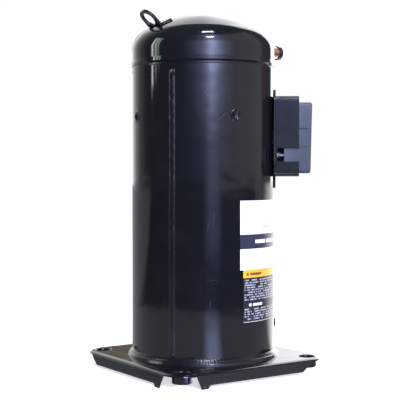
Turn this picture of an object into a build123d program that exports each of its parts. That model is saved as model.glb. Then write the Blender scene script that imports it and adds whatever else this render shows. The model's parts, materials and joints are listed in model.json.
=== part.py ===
from build123d import *
import os
from math import atan2, cos, degrees, pi, radians, sin, sqrt

# A hermetic scroll compressor: a welded steel can on a four-hole base plate, with the motor,
# crankshaft and scroll set inside it. Millimetres. +Z is up along the shell's axis, X and Y run
# along the sides of the base plate, and z = 0 is the lower edge of the plate's skirts.

# ---- base plate -------------------------------------------------------------------------------
PLATE_TOP = 18.0            # upper face of the plate
PLATE_THICK = 3.2
PLATE_HALF = 120.5          # half side at the skirts' lower edge
PLATE_HALF_TOP = 117.25     # half side at the upper face
PLATE_CORNER_R = 34.0
PLATE_BEND_R = 7.5
PLATE_WELL_R = 80.0         # hole that the bottom cap hangs through
SKIRT_BOTTOM = 4.0          # lower edge of the skirts between their end tabs
TAB_INNER = (76.0, 71.0)    # where each tab starts, from the middle of a side, at z = 0 and above
FOOT_SPACING = 190.5        # square pattern of mounting holes
FOOT_HOLE_R = 9.55
FOOT_COLLAR_R = 12.4
FOOT_COLLAR_BOTTOM = 5.0
FOOT_ENTRY_R = 2.4          # rolled edge at the top of each collar
COLLAR_EDGE_R = 1.6         # rounding of each collar's lower edge
# half width of each corner's cut-out, at the bottom and the top; two of the corners are wider
CORNER_CUTS = {45: (26.0, 20.0), 135: (42.0, 22.0), 225: (26.0, 20.0), 315: (42.0, 22.0)}

# ---- shell ------------------------------------------------------------------------------------
SHELL_R = 92.0
SHELL_WALL = 3.4
SHELL_BORE_R = SHELL_R - SHELL_WALL
SHELL_TOP = 385.5
FIT_GAP = 0.1               # room between the shell and what is fixed inside it

CAP_WALL = 4.2
CAP_APEX = 455.0
CAP_CROWN_R = 155.0
CAP_KNUCKLE_R = 30.0
CAP_LIP_R = 93.0
CAP_LIP_TOP = 396.0

BOTTOM_APEX = 5.0
BOTTOM_RIM = 48.0
BOTTOM_CROWN_R = 200.0
BOTTOM_KNUCKLE_R = 18.0

BASE_WELD = (5.8, 8.5)      # how far the weld to the base plate reaches out, and up
TOP_WELD_Z = 377.5          # lower edge of the weld under the top cap
TOP_WELD_RISE = 1.4

SEAM_ANGLE = -149.5         # the shell tube's lengthwise weld
SEAM_WIDTH = 6.5
SEAM_RISE = 0.6
PLUG_WELD_ANGLES = (-98.8, -8.8, 81.2, 171.2)
PLUG_WELD_Z = 323.0
PLUG_WELD_R = 7.0
PLUG_WELD_END = 92.1        # distance of each weld's rim from the shell's axis
PLUG_WELD_DISH = (6.3, 90.2)     # radius of its hollow, and distance of the bottom from the axis
OIL_PORT_ANGLE = -24.4
OIL_PORT_Z = 56.0
OIL_PORT_R = 5.0

# ---- tube stubs and their dust caps -----------------------------------------------------------
DISCHARGE_Z = 415.0         # the discharge stub points along +X
DISCHARGE_R = 8.0
DISCHARGE_SOCKET_R = 6.4
DISCHARGE_SOCKET_DEPTH = 15.0
DISCHARGE_END = 124.3
DISCHARGE_CAP_R = 9.3
DISCHARGE_CAP_SPAN = (120.5, 126.0)
SUCTION_Z = 246.0           # the suction stub points along +Y
SUCTION_R = 12.7
SUCTION_SOCKET_R = 11.15
SUCTION_SOCKET_DEPTH = 22.0
SUCTION_END = 116.0
SUCTION_CAP_R = 14.5
SUCTION_CAP_SPAN = (103.0, 118.0)
DUST_CAP_GAP = 0.08

# ---- lifting lug, on the -X side of the dome --------------------------------------------------
LUG_THICK = 3.0
LUG_WIDTH = 27.6
LUG_BEND_R = 74.6           # distance of the bend from the shell's axis
LUG_TAB_LENGTH = 19.4
LUG_EYE_ANGLE = 43.0        # the eye leans outwards, this far above the horizontal
LUG_EYE_CENTRE = 10.3       # from the bend to the centre of the eye
LUG_EYE_HOLE_R = 9.7
LUG_SINK = 0.9              # how far the tab is pressed to the dome's curve

# ---- terminal box, on the +X -Y corner --------------------------------------------------------
BOX_ANGLE = -39.0
BOX_Z = (248.0, 350.0)
BOX_HALF = 28.0
BOX_PLATE_THICK = 2.0
BOX_PLATE_Z = (233.0, 359.5)
FENCE_WALL = 1.6
FENCE_END = 123.8
FENCE_CORNER_R = 6.0
NOTCH_START = 96.5
NOTCH_Z = (267.0, 284.0)
COVER_START = 104.9
COVER_END = (138.3, 140.3)  # at the lower and the upper edge
COVER_Z = (252.0, 342.0)
COVER_HALF = 25.6
COVER_WALL = 2.0
COVER_RIB_Z = (288.0, 311.0)
COVER_RIB_RISE = 0.9
TERMINAL_Z = 297.0
TERMINAL_R = 16.9
PIN_R = 1.6
PIN_CIRCLE_R = 7.5
GROUND_STUD = (-17.0, 275.0)     # across the box, and up

# ---- labels -----------------------------------------------------------------------------------
LABEL_THICK = 0.25
RATING_LABEL = (-94.8, -36.4, 133.2, 218.6)      # two angles about the axis, two heights
NOTICE_LABEL = (-92.0, -38.4, 67.9, 133.0)

# ---- scroll set -------------------------------------------------------------------------------
BASE_CIRCLE_R = 3.0
WRAP_THICK = 4.0
WRAP_START = 2.2            # roll angle, radians
WRAP_TURNS = 2.75
ORBIT = 5.25                # 0.175 less than the wraps would allow, for running clearance
SCROLL_SKIRT_R = (70.0, 79.0)
ORBITING_PLATE_R = 64.0
ORBITING_Z = (336.0, 344.0)
FIXED_Z = (342.0, 368.0, 374.0, 383.0)           # skirt, floor, bolt ledge, top
FIXED_TOP_R = 66.0
TIP_GAP = 0.1
SEAL_GROOVE_R = (22.0, 42.0)
SEAL_GROOVE_Z = 376.0
SCROLL_BOLT_CIRCLE_R = 74.5
SCROLL_BOLT_R = 3.0
SCROLL_BOLT_COUNT = 6

# ---- main bearing housing ---------------------------------------------------------------------
HOUSING_BOTTOM = 258.0
HOUSING_HUB_R = 30.0
HOUSING_CAVITY = (31.0, 302.0)
HOUSING_PAD = (50.5, 332.0)
HOUSING_FLOOR = 328.0
HOUSING_ARM_Z = (311.0, 335.0)
HOUSING_ARM_WIDTH = 24.0
OLDHAM_R = (56.5, 63.8)
OLDHAM_Z = (328.05, 333.0)
KEY_RADIUS = 60.0
KEY_LENGTH = 7.0
KEY_WIDTH = 8.0
KEY_GAP = 0.1

# ---- crankshaft and bearings ------------------------------------------------------------------
JOURNAL_R = 17.5
SHAFT_R = 14.0
LOWER_JOURNAL_R = 11.0
SHAFT_Z = (44.0, 80.0, 222.0, 302.0, 330.0)      # end, shoulder, main journal, pin, top
CRANK_PIN_R = 9.5
OIL_BORE_R = 2.5
DRIVE_BUSH_R = 14.5
ORBIT_BUSH_R = 17.0
RUNNING_GAP = 0.05
SEAT_GAP = 0.02
LOWER_HOUSING_Z = (50.0, 78.0)
LOWER_HOUSING_HUB_R = 22.0
LOWER_BUSH_R = 13.5
UPPER_BUSH_R = 20.0

# ---- motor ------------------------------------------------------------------------------------
STATOR_Z = (110.0, 210.0)
STATOR_BORE_R = 44.5
ROTOR_Z = (112.0, 208.0)
ROTOR_R = 44.0
SLOT_COUNT = 24
SLOT_R = (50.0, 70.0)
SLOT_WIDTH = 7.0
WINDING_R = (50.0, 78.0)
WINDING_HEIGHT = 26.0
WINDING_GAP = 0.3


def radial_plane(angle, distance, height=0.0):
    """A plane that faces outwards at this angle about the shell's axis: x runs round, y runs up."""
    outward = Vector(cos(radians(angle)), sin(radians(angle)), 0)
    around = Vector(-outward.Y, outward.X, 0)
    return Plane(origin=outward * distance + Vector(0, 0, height), x_dir=around, z_dir=outward)


def write_piece(piece, node):
    """Label a finished piece and write it as its own STEP file."""
    piece.part.label = node
    export_step(piece.part, f"parts/{node}.step")


def knuckle_height(radius, knuckle, crown, apex, up):
    """Height of the knuckle's centre in a dished head that ends at this apex."""
    return apex - up * crown + up * sqrt((crown - knuckle) ** 2 - (radius - knuckle) ** 2)


def dish_arcs(radius, knuckle, crown, apex, up, inset=0.0):
    """Knuckle and crown arcs of a dished head, in a plane of radius and height."""
    crown_z = apex - up * crown
    knuckle_z = knuckle_height(radius, knuckle, crown, apex, up)
    spread = degrees(atan2(abs(knuckle_z - crown_z), radius - knuckle))
    CenterArc((radius - knuckle, knuckle_z), knuckle - inset, 0, up * spread)
    CenterArc((0, crown_z), crown - inset, up * spread, up * (90 - spread))


def ring(inner, outer, low, high):
    """A plain ring about the shell's axis, added to the open part."""
    with BuildSketch(Plane.XY.offset(low)) as section:
        Circle(outer)
        Circle(inner, mode=Mode.SUBTRACT)
    extrude(section.sketch, amount=high - low)


def drill(plane, radius, depth):
    """A round hole from this plane, along its normal, cut from the open part."""
    with BuildSketch(plane) as section:
        Circle(radius)
    extrude(section.sketch, amount=depth, mode=Mode.SUBTRACT)


os.makedirs("parts", exist_ok=True)

# ================================================================================================
# Base plate: a shallow stamped pan, open below, with a drawn collar in each corner
# ================================================================================================
plate_draft = degrees(atan2(PLATE_HALF - PLATE_HALF_TOP, PLATE_TOP))
with BuildPart() as base_plate:
    with BuildSketch():
        RectangleRounded(2 * PLATE_HALF, 2 * PLATE_HALF, PLATE_CORNER_R)
    extrude(amount=PLATE_TOP, taper=plate_draft)
    fillet(base_plate.faces().sort_by(Axis.Z)[-1].edges(), PLATE_BEND_R)
    offset(amount=-PLATE_THICK, openings=base_plate.faces().sort_by(Axis.Z)[0])
    # each corner of the skirt is cut away by a trapezium that runs along the diagonal, which
    # leaves a flat ear round the mounting hole
    ear_bottom = PLATE_TOP - PLATE_THICK + 0.1
    for corner, (low_half, high_half) in CORNER_CUTS.items():
        with BuildSketch(radial_plane(corner, SHELL_R + 15)):
            Polygon((-low_half, -1), (low_half, -1), (high_half, ear_bottom),
                    (-high_half, ear_bottom), align=None)
        extrude(amount=PLATE_HALF, mode=Mode.SUBTRACT)
    # the skirts stand on tabs at the narrow corners
    tab_low, tab_high = TAB_INNER
    for side in (0, 90, 180, 270):
        with BuildSketch(radial_plane(side, SHELL_R + 15)):
            Polygon((-tab_low, -1), (tab_low, -1), (tab_high, SKIRT_BOTTOM),
                    (-tab_high, SKIRT_BOTTOM), align=None)
        extrude(amount=PLATE_HALF, mode=Mode.SUBTRACT)
    with BuildSketch(Plane.XY.offset(FOOT_COLLAR_BOTTOM)):
        with GridLocations(FOOT_SPACING, FOOT_SPACING, 2, 2):
            Circle(FOOT_COLLAR_R)
    extrude(amount=PLATE_TOP - FOOT_COLLAR_BOTTOM)
    with BuildSketch(Plane.XY.offset(-1)):
        Circle(PLATE_WELL_R)
        with GridLocations(FOOT_SPACING, FOOT_SPACING, 2, 2):
            Circle(FOOT_HOLE_R)
    extrude(amount=PLATE_TOP + 2, mode=Mode.SUBTRACT)
    hole_rims = base_plate.edges().filter_by(GeomType.CIRCLE).group_by(Axis.Z)[-1]
    fillet(hole_rims.filter_by(lambda e: abs(e.radius - FOOT_HOLE_R) < 0.01), FOOT_ENTRY_R)
    collar_rims = base_plate.edges().filter_by(GeomType.CIRCLE).filter_by(
        lambda e: abs(e.radius - FOOT_COLLAR_R) < 0.01 and e.center().Z < FOOT_COLLAR_BOTTOM + 0.01)
    fillet(collar_rims, COLLAR_EDGE_R)
write_piece(base_plate, "base_plate")

# ================================================================================================
# Shell: tube, two dished caps, and the welds that show
# ================================================================================================
with BuildPart() as shell_tube:
    ring(SHELL_BORE_R, SHELL_R, PLATE_TOP, SHELL_TOP)
    for angle in PLUG_WELD_ANGLES:
        drill(radial_plane(angle, SHELL_BORE_R - 5, PLUG_WELD_Z), PLUG_WELD_R, 15)
    drill(radial_plane(BOX_ANGLE, SHELL_BORE_R - 5, TERMINAL_Z), TERMINAL_R + FIT_GAP, 15)
    drill(radial_plane(90, SHELL_BORE_R - 5, SUCTION_Z), SUCTION_R + FIT_GAP, 15)
    drill(radial_plane(OIL_PORT_ANGLE, SHELL_BORE_R - 5, OIL_PORT_Z), OIL_PORT_R, 15)
write_piece(shell_tube, "shell_tube")

cap_knuckle_z = knuckle_height(SHELL_R, CAP_KNUCKLE_R, CAP_CROWN_R, CAP_APEX, 1)
cap_lip_bottom = SHELL_TOP + 3.0
with BuildPart() as top_cap:
    with BuildSketch(Plane.XZ):
        with BuildLine():
            dish_arcs(SHELL_R, CAP_KNUCKLE_R, CAP_CROWN_R, CAP_APEX, 1)
            dish_arcs(SHELL_R, CAP_KNUCKLE_R, CAP_CROWN_R, CAP_APEX, 1, inset=CAP_WALL)
            Line((0, CAP_APEX), (0, CAP_APEX - CAP_WALL))
            Polyline(
                (SHELL_R, cap_knuckle_z),
                (SHELL_R, CAP_LIP_TOP),
                (CAP_LIP_R, cap_lip_bottom + 2.5),
                (CAP_LIP_R - 0.4, cap_lip_bottom),
                (SHELL_R - CAP_WALL, cap_lip_bottom),
                (SHELL_R - CAP_WALL, cap_knuckle_z),
            )
        make_face()
    revolve(axis=Axis.Z)
    drill(radial_plane(0, 70, DISCHARGE_Z), DISCHARGE_R + RUNNING_GAP, 30)
write_piece(top_cap, "top_cap")

bottom_r = SHELL_BORE_R - FIT_GAP
bottom_knuckle_z = knuckle_height(bottom_r, BOTTOM_KNUCKLE_R, BOTTOM_CROWN_R, BOTTOM_APEX, -1)
with BuildPart() as bottom_cap:
    with BuildSketch(Plane.XZ):
        with BuildLine():
            dish_arcs(bottom_r, BOTTOM_KNUCKLE_R, BOTTOM_CROWN_R, BOTTOM_APEX, -1)
            dish_arcs(bottom_r, BOTTOM_KNUCKLE_R, BOTTOM_CROWN_R, BOTTOM_APEX, -1, inset=SHELL_WALL)
            Line((0, BOTTOM_APEX), (0, BOTTOM_APEX + SHELL_WALL))
            Polyline(
                (bottom_r, bottom_knuckle_z),
                (bottom_r, BOTTOM_RIM),
                (bottom_r - SHELL_WALL, BOTTOM_RIM),
                (bottom_r - SHELL_WALL, bottom_knuckle_z),
            )
        make_face()
    revolve(axis=Axis.Z)
write_piece(bottom_cap, "bottom_cap")

with BuildPart() as top_weld_bead:
    with BuildSketch(Plane.XZ):
        with BuildLine():
            ThreePointArc((SHELL_R, TOP_WELD_Z), (SHELL_R + TOP_WELD_RISE, SHELL_TOP - 2.7),
                          (SHELL_R + 0.4, SHELL_TOP))
            Polyline((SHELL_R + 0.4, SHELL_TOP), (SHELL_R, SHELL_TOP), (SHELL_R, TOP_WELD_Z))
        make_face()
    revolve(axis=Axis.Z)
write_piece(top_weld_bead, "top_weld_bead")

weld_out, weld_up = BASE_WELD
with BuildPart() as base_weld_bead:
    with BuildSketch(Plane.XZ):
        with BuildLine():
            ThreePointArc((SHELL_R, PLATE_TOP + weld_up),
                          (SHELL_R + 0.36 * weld_out, PLATE_TOP + 0.36 * weld_up),
                          (SHELL_R + weld_out, PLATE_TOP))
            Polyline((SHELL_R + weld_out, PLATE_TOP), (SHELL_R, PLATE_TOP),
                     (SHELL_R, PLATE_TOP + weld_up))
        make_face()
    revolve(axis=Axis.Z)
write_piece(base_weld_bead, "base_weld_bead")

# the lengthwise weld stands proud of the tube as a low, wide ridge
seam_arc_r = ((SEAM_WIDTH / 2) ** 2 + SEAM_RISE**2) / (2 * SEAM_RISE)
seam_bottom = PLATE_TOP + weld_up + 0.1
with BuildPart() as shell_seam_weld:
    with BuildSketch(Plane.XY.offset(seam_bottom)):
        with PolarLocations(SHELL_R + SEAM_RISE - seam_arc_r, 1, start_angle=SEAM_ANGLE):
            Circle(seam_arc_r)
        Circle(SHELL_R, mode=Mode.SUBTRACT)
    extrude(amount=TOP_WELD_Z - 0.5 - seam_bottom)
write_piece(shell_seam_weld, "shell_seam_weld")

# four round welds tie the main bearing housing to the shell; each one has sunk in its middle
dish_depth = PLUG_WELD_END - PLUG_WELD_DISH[1]
dish_rim = PLUG_WELD_DISH[0]
dish_r = (dish_rim**2 + dish_depth**2) / (2 * dish_depth)
dish_mid = PLUG_WELD_DISH[1] + dish_r - sqrt(dish_r**2 - (dish_rim / 2) ** 2)
with BuildPart() as plug_welds:
    for angle in PLUG_WELD_ANGLES:
        facing = radial_plane(angle, 0, PLUG_WELD_Z)
        with BuildSketch(Plane(origin=facing.origin, x_dir=facing.z_dir, z_dir=-facing.x_dir)):
            with BuildLine():
                dish = ThreePointArc((PLUG_WELD_END, dish_rim), (dish_mid, dish_rim / 2),
                                     (PLUG_WELD_DISH[1], 0))
                Polyline(dish @ 1, (SHELL_BORE_R, 0), (SHELL_BORE_R, PLUG_WELD_R),
                         (PLUG_WELD_END, PLUG_WELD_R), dish @ 0)
            make_face()
        revolve(axis=Axis(facing.origin, facing.z_dir))
write_piece(plug_welds, "plug_welds")

with BuildPart() as oil_port_plug:
    with BuildSketch(radial_plane(OIL_PORT_ANGLE, SHELL_BORE_R + 0.4, OIL_PORT_Z)):
        Circle(OIL_PORT_R - FIT_GAP / 2)
    extrude(amount=3.2)
    with BuildSketch(radial_plane(OIL_PORT_ANGLE, SHELL_R + 0.2, OIL_PORT_Z)):
        RegularPolygon(OIL_PORT_R + 0.9, 6)
    extrude(amount=3.6)
    drill(radial_plane(OIL_PORT_ANGLE, SHELL_R + 2.0, OIL_PORT_Z), 2.0, 5)
    chamfer(oil_port_plug.edges().filter_by(GeomType.CIRCLE).sort_by(
        lambda e: e.center().length)[-1], 0.4)
write_piece(oil_port_plug, "oil_port_plug")

# ================================================================================================
# Lifting lug: a bent strip whose short tab is welded to the dome and whose eye leans outwards
# ================================================================================================
dome_centre_z = CAP_APEX - CAP_CROWN_R
tab_mid_r = LUG_BEND_R - LUG_TAB_LENGTH / 2 * cos(radians(24))
tab_slope = degrees(atan2(tab_mid_r, sqrt(CAP_CROWN_R**2 - tab_mid_r**2)))
tab_dir = Vector(cos(radians(tab_slope)), 0, sin(radians(tab_slope)))
tab_up = Vector(-sin(radians(tab_slope)), 0, cos(radians(tab_slope)))
eye_dir = Vector(-cos(radians(LUG_EYE_ANGLE)), 0, sin(radians(LUG_EYE_ANGLE)))
eye_in = Vector(sin(radians(LUG_EYE_ANGLE)), 0, cos(radians(LUG_EYE_ANGLE)))
tab_mid = Vector(-tab_mid_r, 0, dome_centre_z + sqrt(CAP_CROWN_R**2 - tab_mid_r**2))
# the bend's inner edge, where the upper face of the tab meets the inner face of the eye
lug_bend = tab_mid + tab_up * (LUG_THICK - LUG_SINK) - tab_dir * (LUG_TAB_LENGTH / 2 - LUG_THICK)
tab_plane = Plane(origin=lug_bend, x_dir=tab_dir, z_dir=tab_up)
eye_plane = Plane(origin=lug_bend, x_dir=eye_dir, z_dir=eye_in)
with BuildPart() as lifting_lug:
    with BuildSketch(tab_plane):
        Rectangle(LUG_TAB_LENGTH - LUG_THICK, LUG_WIDTH, align=(Align.MIN, Align.CENTER))
    extrude(amount=-LUG_THICK)
    with BuildSketch(eye_plane):
        Rectangle(LUG_EYE_CENTRE, LUG_WIDTH, align=(Align.MIN, Align.CENTER))
        with Locations((LUG_EYE_CENTRE, 0)):
            Circle(LUG_WIDTH / 2)
            Circle(LUG_EYE_HOLE_R, mode=Mode.SUBTRACT)
    extrude(amount=-LUG_THICK)
    # the outside of the bend is an arc about its inner edge
    bend_under = lug_bend - tab_up * LUG_THICK
    bend_mid = lug_bend - (tab_up + eye_in).normalized() * LUG_THICK
    bend_out = lug_bend - eye_in * LUG_THICK
    with BuildSketch(Plane.XZ.offset(-LUG_WIDTH / 2)):
        with BuildLine():
            ThreePointArc((bend_under.X, bend_under.Z), (bend_mid.X, bend_mid.Z),
                          (bend_out.X, bend_out.Z))
            Polyline((bend_out.X, bend_out.Z), (lug_bend.X, lug_bend.Z),
                     (bend_under.X, bend_under.Z))
        make_face()
    extrude(amount=LUG_WIDTH)
    with Locations((0, 0, dome_centre_z)):
        Sphere(CAP_CROWN_R, mode=Mode.SUBTRACT)
write_piece(lifting_lug, "lifting_lug")

# ================================================================================================
# Refrigerant stubs, each with a socket for the pipe and a rubber dust cap pushed over its end
# ================================================================================================
with BuildPart() as discharge_stub:
    with BuildSketch(radial_plane(0, SHELL_BORE_R - 5, DISCHARGE_Z)):
        Circle(DISCHARGE_R)
        Circle(DISCHARGE_SOCKET_R - 0.8, mode=Mode.SUBTRACT)
    extrude(amount=DISCHARGE_END - SHELL_BORE_R + 5)
    drill(radial_plane(0, DISCHARGE_END - DISCHARGE_SOCKET_DEPTH, DISCHARGE_Z),
          DISCHARGE_SOCKET_R, DISCHARGE_SOCKET_DEPTH + 1)
write_piece(discharge_stub, "discharge_stub")

with BuildPart() as suction_stub:
    with BuildSketch(radial_plane(90, SHELL_BORE_R - 3, SUCTION_Z)):
        Circle(SUCTION_R + 3.8)
    extrude(amount=12, taper=12)
    with BuildSketch(Plane.XY.offset(SUCTION_Z - 25)):
        Circle(SHELL_R + SEAT_GAP)
    extrude(amount=50, mode=Mode.SUBTRACT)
    with BuildSketch(radial_plane(90, SHELL_BORE_R - 2, SUCTION_Z)):
        Circle(SUCTION_R)
    extrude(amount=SUCTION_END - SHELL_BORE_R + 2)
    drill(radial_plane(90, SHELL_BORE_R - 5, SUCTION_Z), SUCTION_SOCKET_R - 1.5, 40)
    drill(radial_plane(90, SUCTION_END - SUCTION_SOCKET_DEPTH, SUCTION_Z),
          SUCTION_SOCKET_R, SUCTION_SOCKET_DEPTH + 1)
write_piece(suction_stub, "suction_stub")


def dust_cap(angle, height, outer_r, inner_r, span, end_wall, edge_r):
    """A cup that is open towards the shell, built in the open part."""
    start, end = span
    with BuildSketch(radial_plane(angle, start, height)) as section:
        Circle(outer_r)
    extrude(section.sketch, amount=end - start)
    outer_rim = faces().sort_by(Axis((0, 0, 0), radial_plane(angle, 1).z_dir))[-1].edges()
    fillet(outer_rim, edge_r)
    drill(radial_plane(angle, start, height), inner_r, end - start - end_wall)


with BuildPart() as discharge_dust_cap:
    dust_cap(0, DISCHARGE_Z, DISCHARGE_CAP_R, DISCHARGE_R + DUST_CAP_GAP, DISCHARGE_CAP_SPAN, 1.5, 1.2)
write_piece(discharge_dust_cap, "discharge_dust_cap")

with BuildPart() as suction_dust_cap:
    dust_cap(90, SUCTION_Z, SUCTION_CAP_R, SUCTION_R + DUST_CAP_GAP, SUCTION_CAP_SPAN, 1.8, 1.5)
write_piece(suction_dust_cap, "suction_dust_cap")

# ================================================================================================
# Terminal box: flat plate on the shell, folded fence, moulded cover, and the sealed terminal
# ================================================================================================
box_mid_z = sum(BOX_Z) / 2
box_height = BOX_Z[1] - BOX_Z[0]
with BuildPart() as terminal_mount_plate:
    with BuildSketch(radial_plane(BOX_ANGLE, SHELL_R + SEAT_GAP, box_mid_z)):
        RectangleRounded(2 * BOX_HALF - 3, box_height - 3, 4)
        with Locations((0, sum(BOX_PLATE_Z) / 2 - box_mid_z)):
            RectangleRounded(16, BOX_PLATE_Z[1] - BOX_PLATE_Z[0], 3)
        with Locations((0, TERMINAL_Z - box_mid_z)):
            Circle(TERMINAL_R + 0.6, mode=Mode.SUBTRACT)
    extrude(amount=BOX_PLATE_THICK)
write_piece(terminal_mount_plate, "terminal_mount_plate")

fence_start = SHELL_R + SEAT_GAP + BOX_PLATE_THICK
fence_floor = fence_start + FENCE_WALL
with BuildPart() as terminal_fence:
    with BuildSketch(radial_plane(BOX_ANGLE, fence_start, box_mid_z)):
        RectangleRounded(2 * BOX_HALF, box_height, FENCE_CORNER_R)
    extrude(amount=FENCE_END - fence_start)
    with BuildSketch(radial_plane(BOX_ANGLE, fence_floor, box_mid_z)):
        RectangleRounded(2 * (BOX_HALF - FENCE_WALL), box_height - 2 * FENCE_WALL,
                         FENCE_CORNER_R - FENCE_WALL)
    extrude(amount=FENCE_END - fence_floor, mode=Mode.SUBTRACT)
    drill(radial_plane(BOX_ANGLE, fence_start, TERMINAL_Z), TERMINAL_R + 0.6, FENCE_WALL)
    stud_x, stud_z = GROUND_STUD
    with BuildSketch(radial_plane(BOX_ANGLE, fence_start, stud_z)):
        with Locations((stud_x, 0)):
            Circle(2.45)
    extrude(amount=FENCE_WALL, mode=Mode.SUBTRACT)
    # the cable notch is cut in from the open edge of one side wall
    with BuildSketch(radial_plane(BOX_ANGLE, NOTCH_START, sum(NOTCH_Z) / 2)):
        with Locations((-BOX_HALF, 0)):
            Rectangle(4 * FENCE_WALL, NOTCH_Z[1] - NOTCH_Z[0])
    extrude(amount=FENCE_END - NOTCH_START, mode=Mode.SUBTRACT)
write_piece(terminal_fence, "terminal_fence")

with BuildPart() as terminal_cover:
    # side view of the cover: its front leans out a little towards the top
    side_view = Plane(origin=(0, 0, 0), x_dir=radial_plane(BOX_ANGLE, 1).z_dir,
                      z_dir=-radial_plane(BOX_ANGLE, 1).x_dir)
    with BuildSketch(side_view.offset(-COVER_HALF)):
        Polygon((COVER_START, COVER_Z[0]), (COVER_END[0], COVER_Z[0]),
                (COVER_END[1], COVER_Z[1]), (COVER_START, COVER_Z[1]), align=None)
    extrude(amount=2 * COVER_HALF)
    outward = Axis((0, 0, 0), radial_plane(BOX_ANGLE, 1).z_dir)
    long_edges = terminal_cover.edges().filter_by(outward)
    fillet(long_edges, 5.0)
    front = terminal_cover.faces().sort_by(outward)[-1]
    fillet(front.edges(), 3.0)
    mouth = terminal_cover.faces().sort_by(outward)[0]
    offset(amount=-COVER_WALL, openings=mouth)
    # two horizontal ribs on each side, on the part that stands out of the fence
    for rib_z in COVER_RIB_Z:
        for side in (-1, 1):
            with BuildSketch(radial_plane(BOX_ANGLE, FENCE_END + 0.7, rib_z)):
                with Locations((side * (COVER_HALF + COVER_RIB_RISE / 2 - 0.3), 0)):
                    Rectangle(COVER_RIB_RISE + 0.6, 1.8)
            extrude(amount=10.5)
write_piece(terminal_cover, "terminal_cover")

pin_places = [(PIN_CIRCLE_R * cos(radians(a)), PIN_CIRCLE_R * sin(radians(a))) for a in (90, 210, 330)]
with BuildPart() as terminal_cup:
    with BuildSketch(radial_plane(BOX_ANGLE, 82.5, TERMINAL_Z)):
        Circle(TERMINAL_R + 3)
    extrude(amount=2.5)
    with BuildSketch(radial_plane(BOX_ANGLE, 82.5, TERMINAL_Z)):
        Circle(TERMINAL_R)
    extrude(amount=fence_floor - 82.5)
    drill(radial_plane(BOX_ANGLE, 87.0, TERMINAL_Z), TERMINAL_R - 2.4, 15)
    with BuildSketch(radial_plane(BOX_ANGLE, 80, TERMINAL_Z)):
        with Locations(*pin_places):
            Circle(3.4)
    extrude(amount=10, mode=Mode.SUBTRACT)
write_piece(terminal_cup, "terminal_cup")

with BuildPart() as terminal_glass:
    with BuildSketch(radial_plane(BOX_ANGLE, 82.5, TERMINAL_Z)):
        with Locations(*pin_places):
            Circle(3.4 - SEAT_GAP)
            Circle(PIN_R + SEAT_GAP, mode=Mode.SUBTRACT)
    extrude(amount=5.5)
write_piece(terminal_glass, "terminal_glass")

with BuildPart() as terminal_pins:
    with BuildSketch(radial_plane(BOX_ANGLE, 76, TERMINAL_Z)):
        with Locations(*pin_places):
            Circle(PIN_R)
    extrude(amount=32)
write_piece(terminal_pins, "terminal_pins")

with BuildPart() as terminal_block:
    with BuildSketch(radial_plane(BOX_ANGLE, fence_floor + 2, TERMINAL_Z)):
        Circle(13.5)
        with Locations(*pin_places):
            Circle(PIN_R + 0.1, mode=Mode.SUBTRACT)
    extrude(amount=7)
    # three barriers keep the terminals apart
    with BuildSketch(radial_plane(BOX_ANGLE, fence_floor + 9, TERMINAL_Z)):
        for barrier in (30, 150, 270):
            with Locations(Location((6.5 * cos(radians(barrier)), 6.5 * sin(radians(barrier)), 0),
                                    (0, 0, barrier))):
                Rectangle(13, 1.6)
    extrude(amount=6)
write_piece(terminal_block, "terminal_block")

with BuildPart() as terminal_screws:
    with BuildSketch(radial_plane(BOX_ANGLE, 108, TERMINAL_Z)):
        with Locations(*pin_places):
            Circle(3.2)
    extrude(amount=2.4)
    with BuildSketch(radial_plane(BOX_ANGLE, 109.6, TERMINAL_Z)):
        with Locations(*pin_places):
            Rectangle(7, 0.9)
    extrude(amount=2, mode=Mode.SUBTRACT)
write_piece(terminal_screws, "terminal_screws")

with BuildPart() as ground_screw:
    with BuildSketch(radial_plane(BOX_ANGLE, fence_start + 0.1, stud_z)):
        with Locations((stud_x, 0)):
            Circle(2.4)
    extrude(amount=104 - fence_start)
    with BuildSketch(radial_plane(BOX_ANGLE, fence_floor, stud_z)):
        with Locations((stud_x, 0)):
            Circle(5.2)
    extrude(amount=1.2)
    with BuildSketch(radial_plane(BOX_ANGLE, fence_floor + 1.2, stud_z)):
        with Locations((stud_x, 0)):
            RegularPolygon(4.4, 6)
    extrude(amount=3.6)
write_piece(ground_screw, "ground_screw")


def wrapped_label(spec):
    """A thin label that lies round the shell between two angles and two heights."""
    first, last, low, high = spec
    with BuildSketch(Plane.XY.offset(low)) as section:
        with BuildLine():
            inner = CenterArc((0, 0), SHELL_R + SEAT_GAP, first, last - first)
            outer = CenterArc((0, 0), SHELL_R + LABEL_THICK, first, last - first)
            Line(inner @ 0, outer @ 0)
            Line(inner @ 1, outer @ 1)
        make_face()
    extrude(section.sketch, amount=high - low)


with BuildPart() as rating_label:
    wrapped_label(RATING_LABEL)
write_piece(rating_label, "rating_label")

with BuildPart() as notice_label:
    wrapped_label(NOTICE_LABEL)
write_piece(notice_label, "notice_label")

# ================================================================================================
# Discharge side: separator plate under the dome, its valves, and the floating seal
# ================================================================================================
with BuildPart() as muffler_plate:
    with BuildSketch(Plane.XZ):
        with BuildLine():
            Polyline(
                (91, SHELL_TOP),
                (91, cap_lip_bottom),
                (80, cap_lip_bottom),
                (63, 400),
                (11, 400),
                (11, 397),
                (62, 397),
                (79, SHELL_TOP),
                close=True,
            )
        make_face()
    revolve(axis=Axis.Z)
    with BuildSketch(Plane.XY.offset(390)):
        with Locations((0, -38)):
            Circle(4.5)
    extrude(amount=20, mode=Mode.SUBTRACT)
write_piece(muffler_plate, "muffler_plate")

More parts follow.
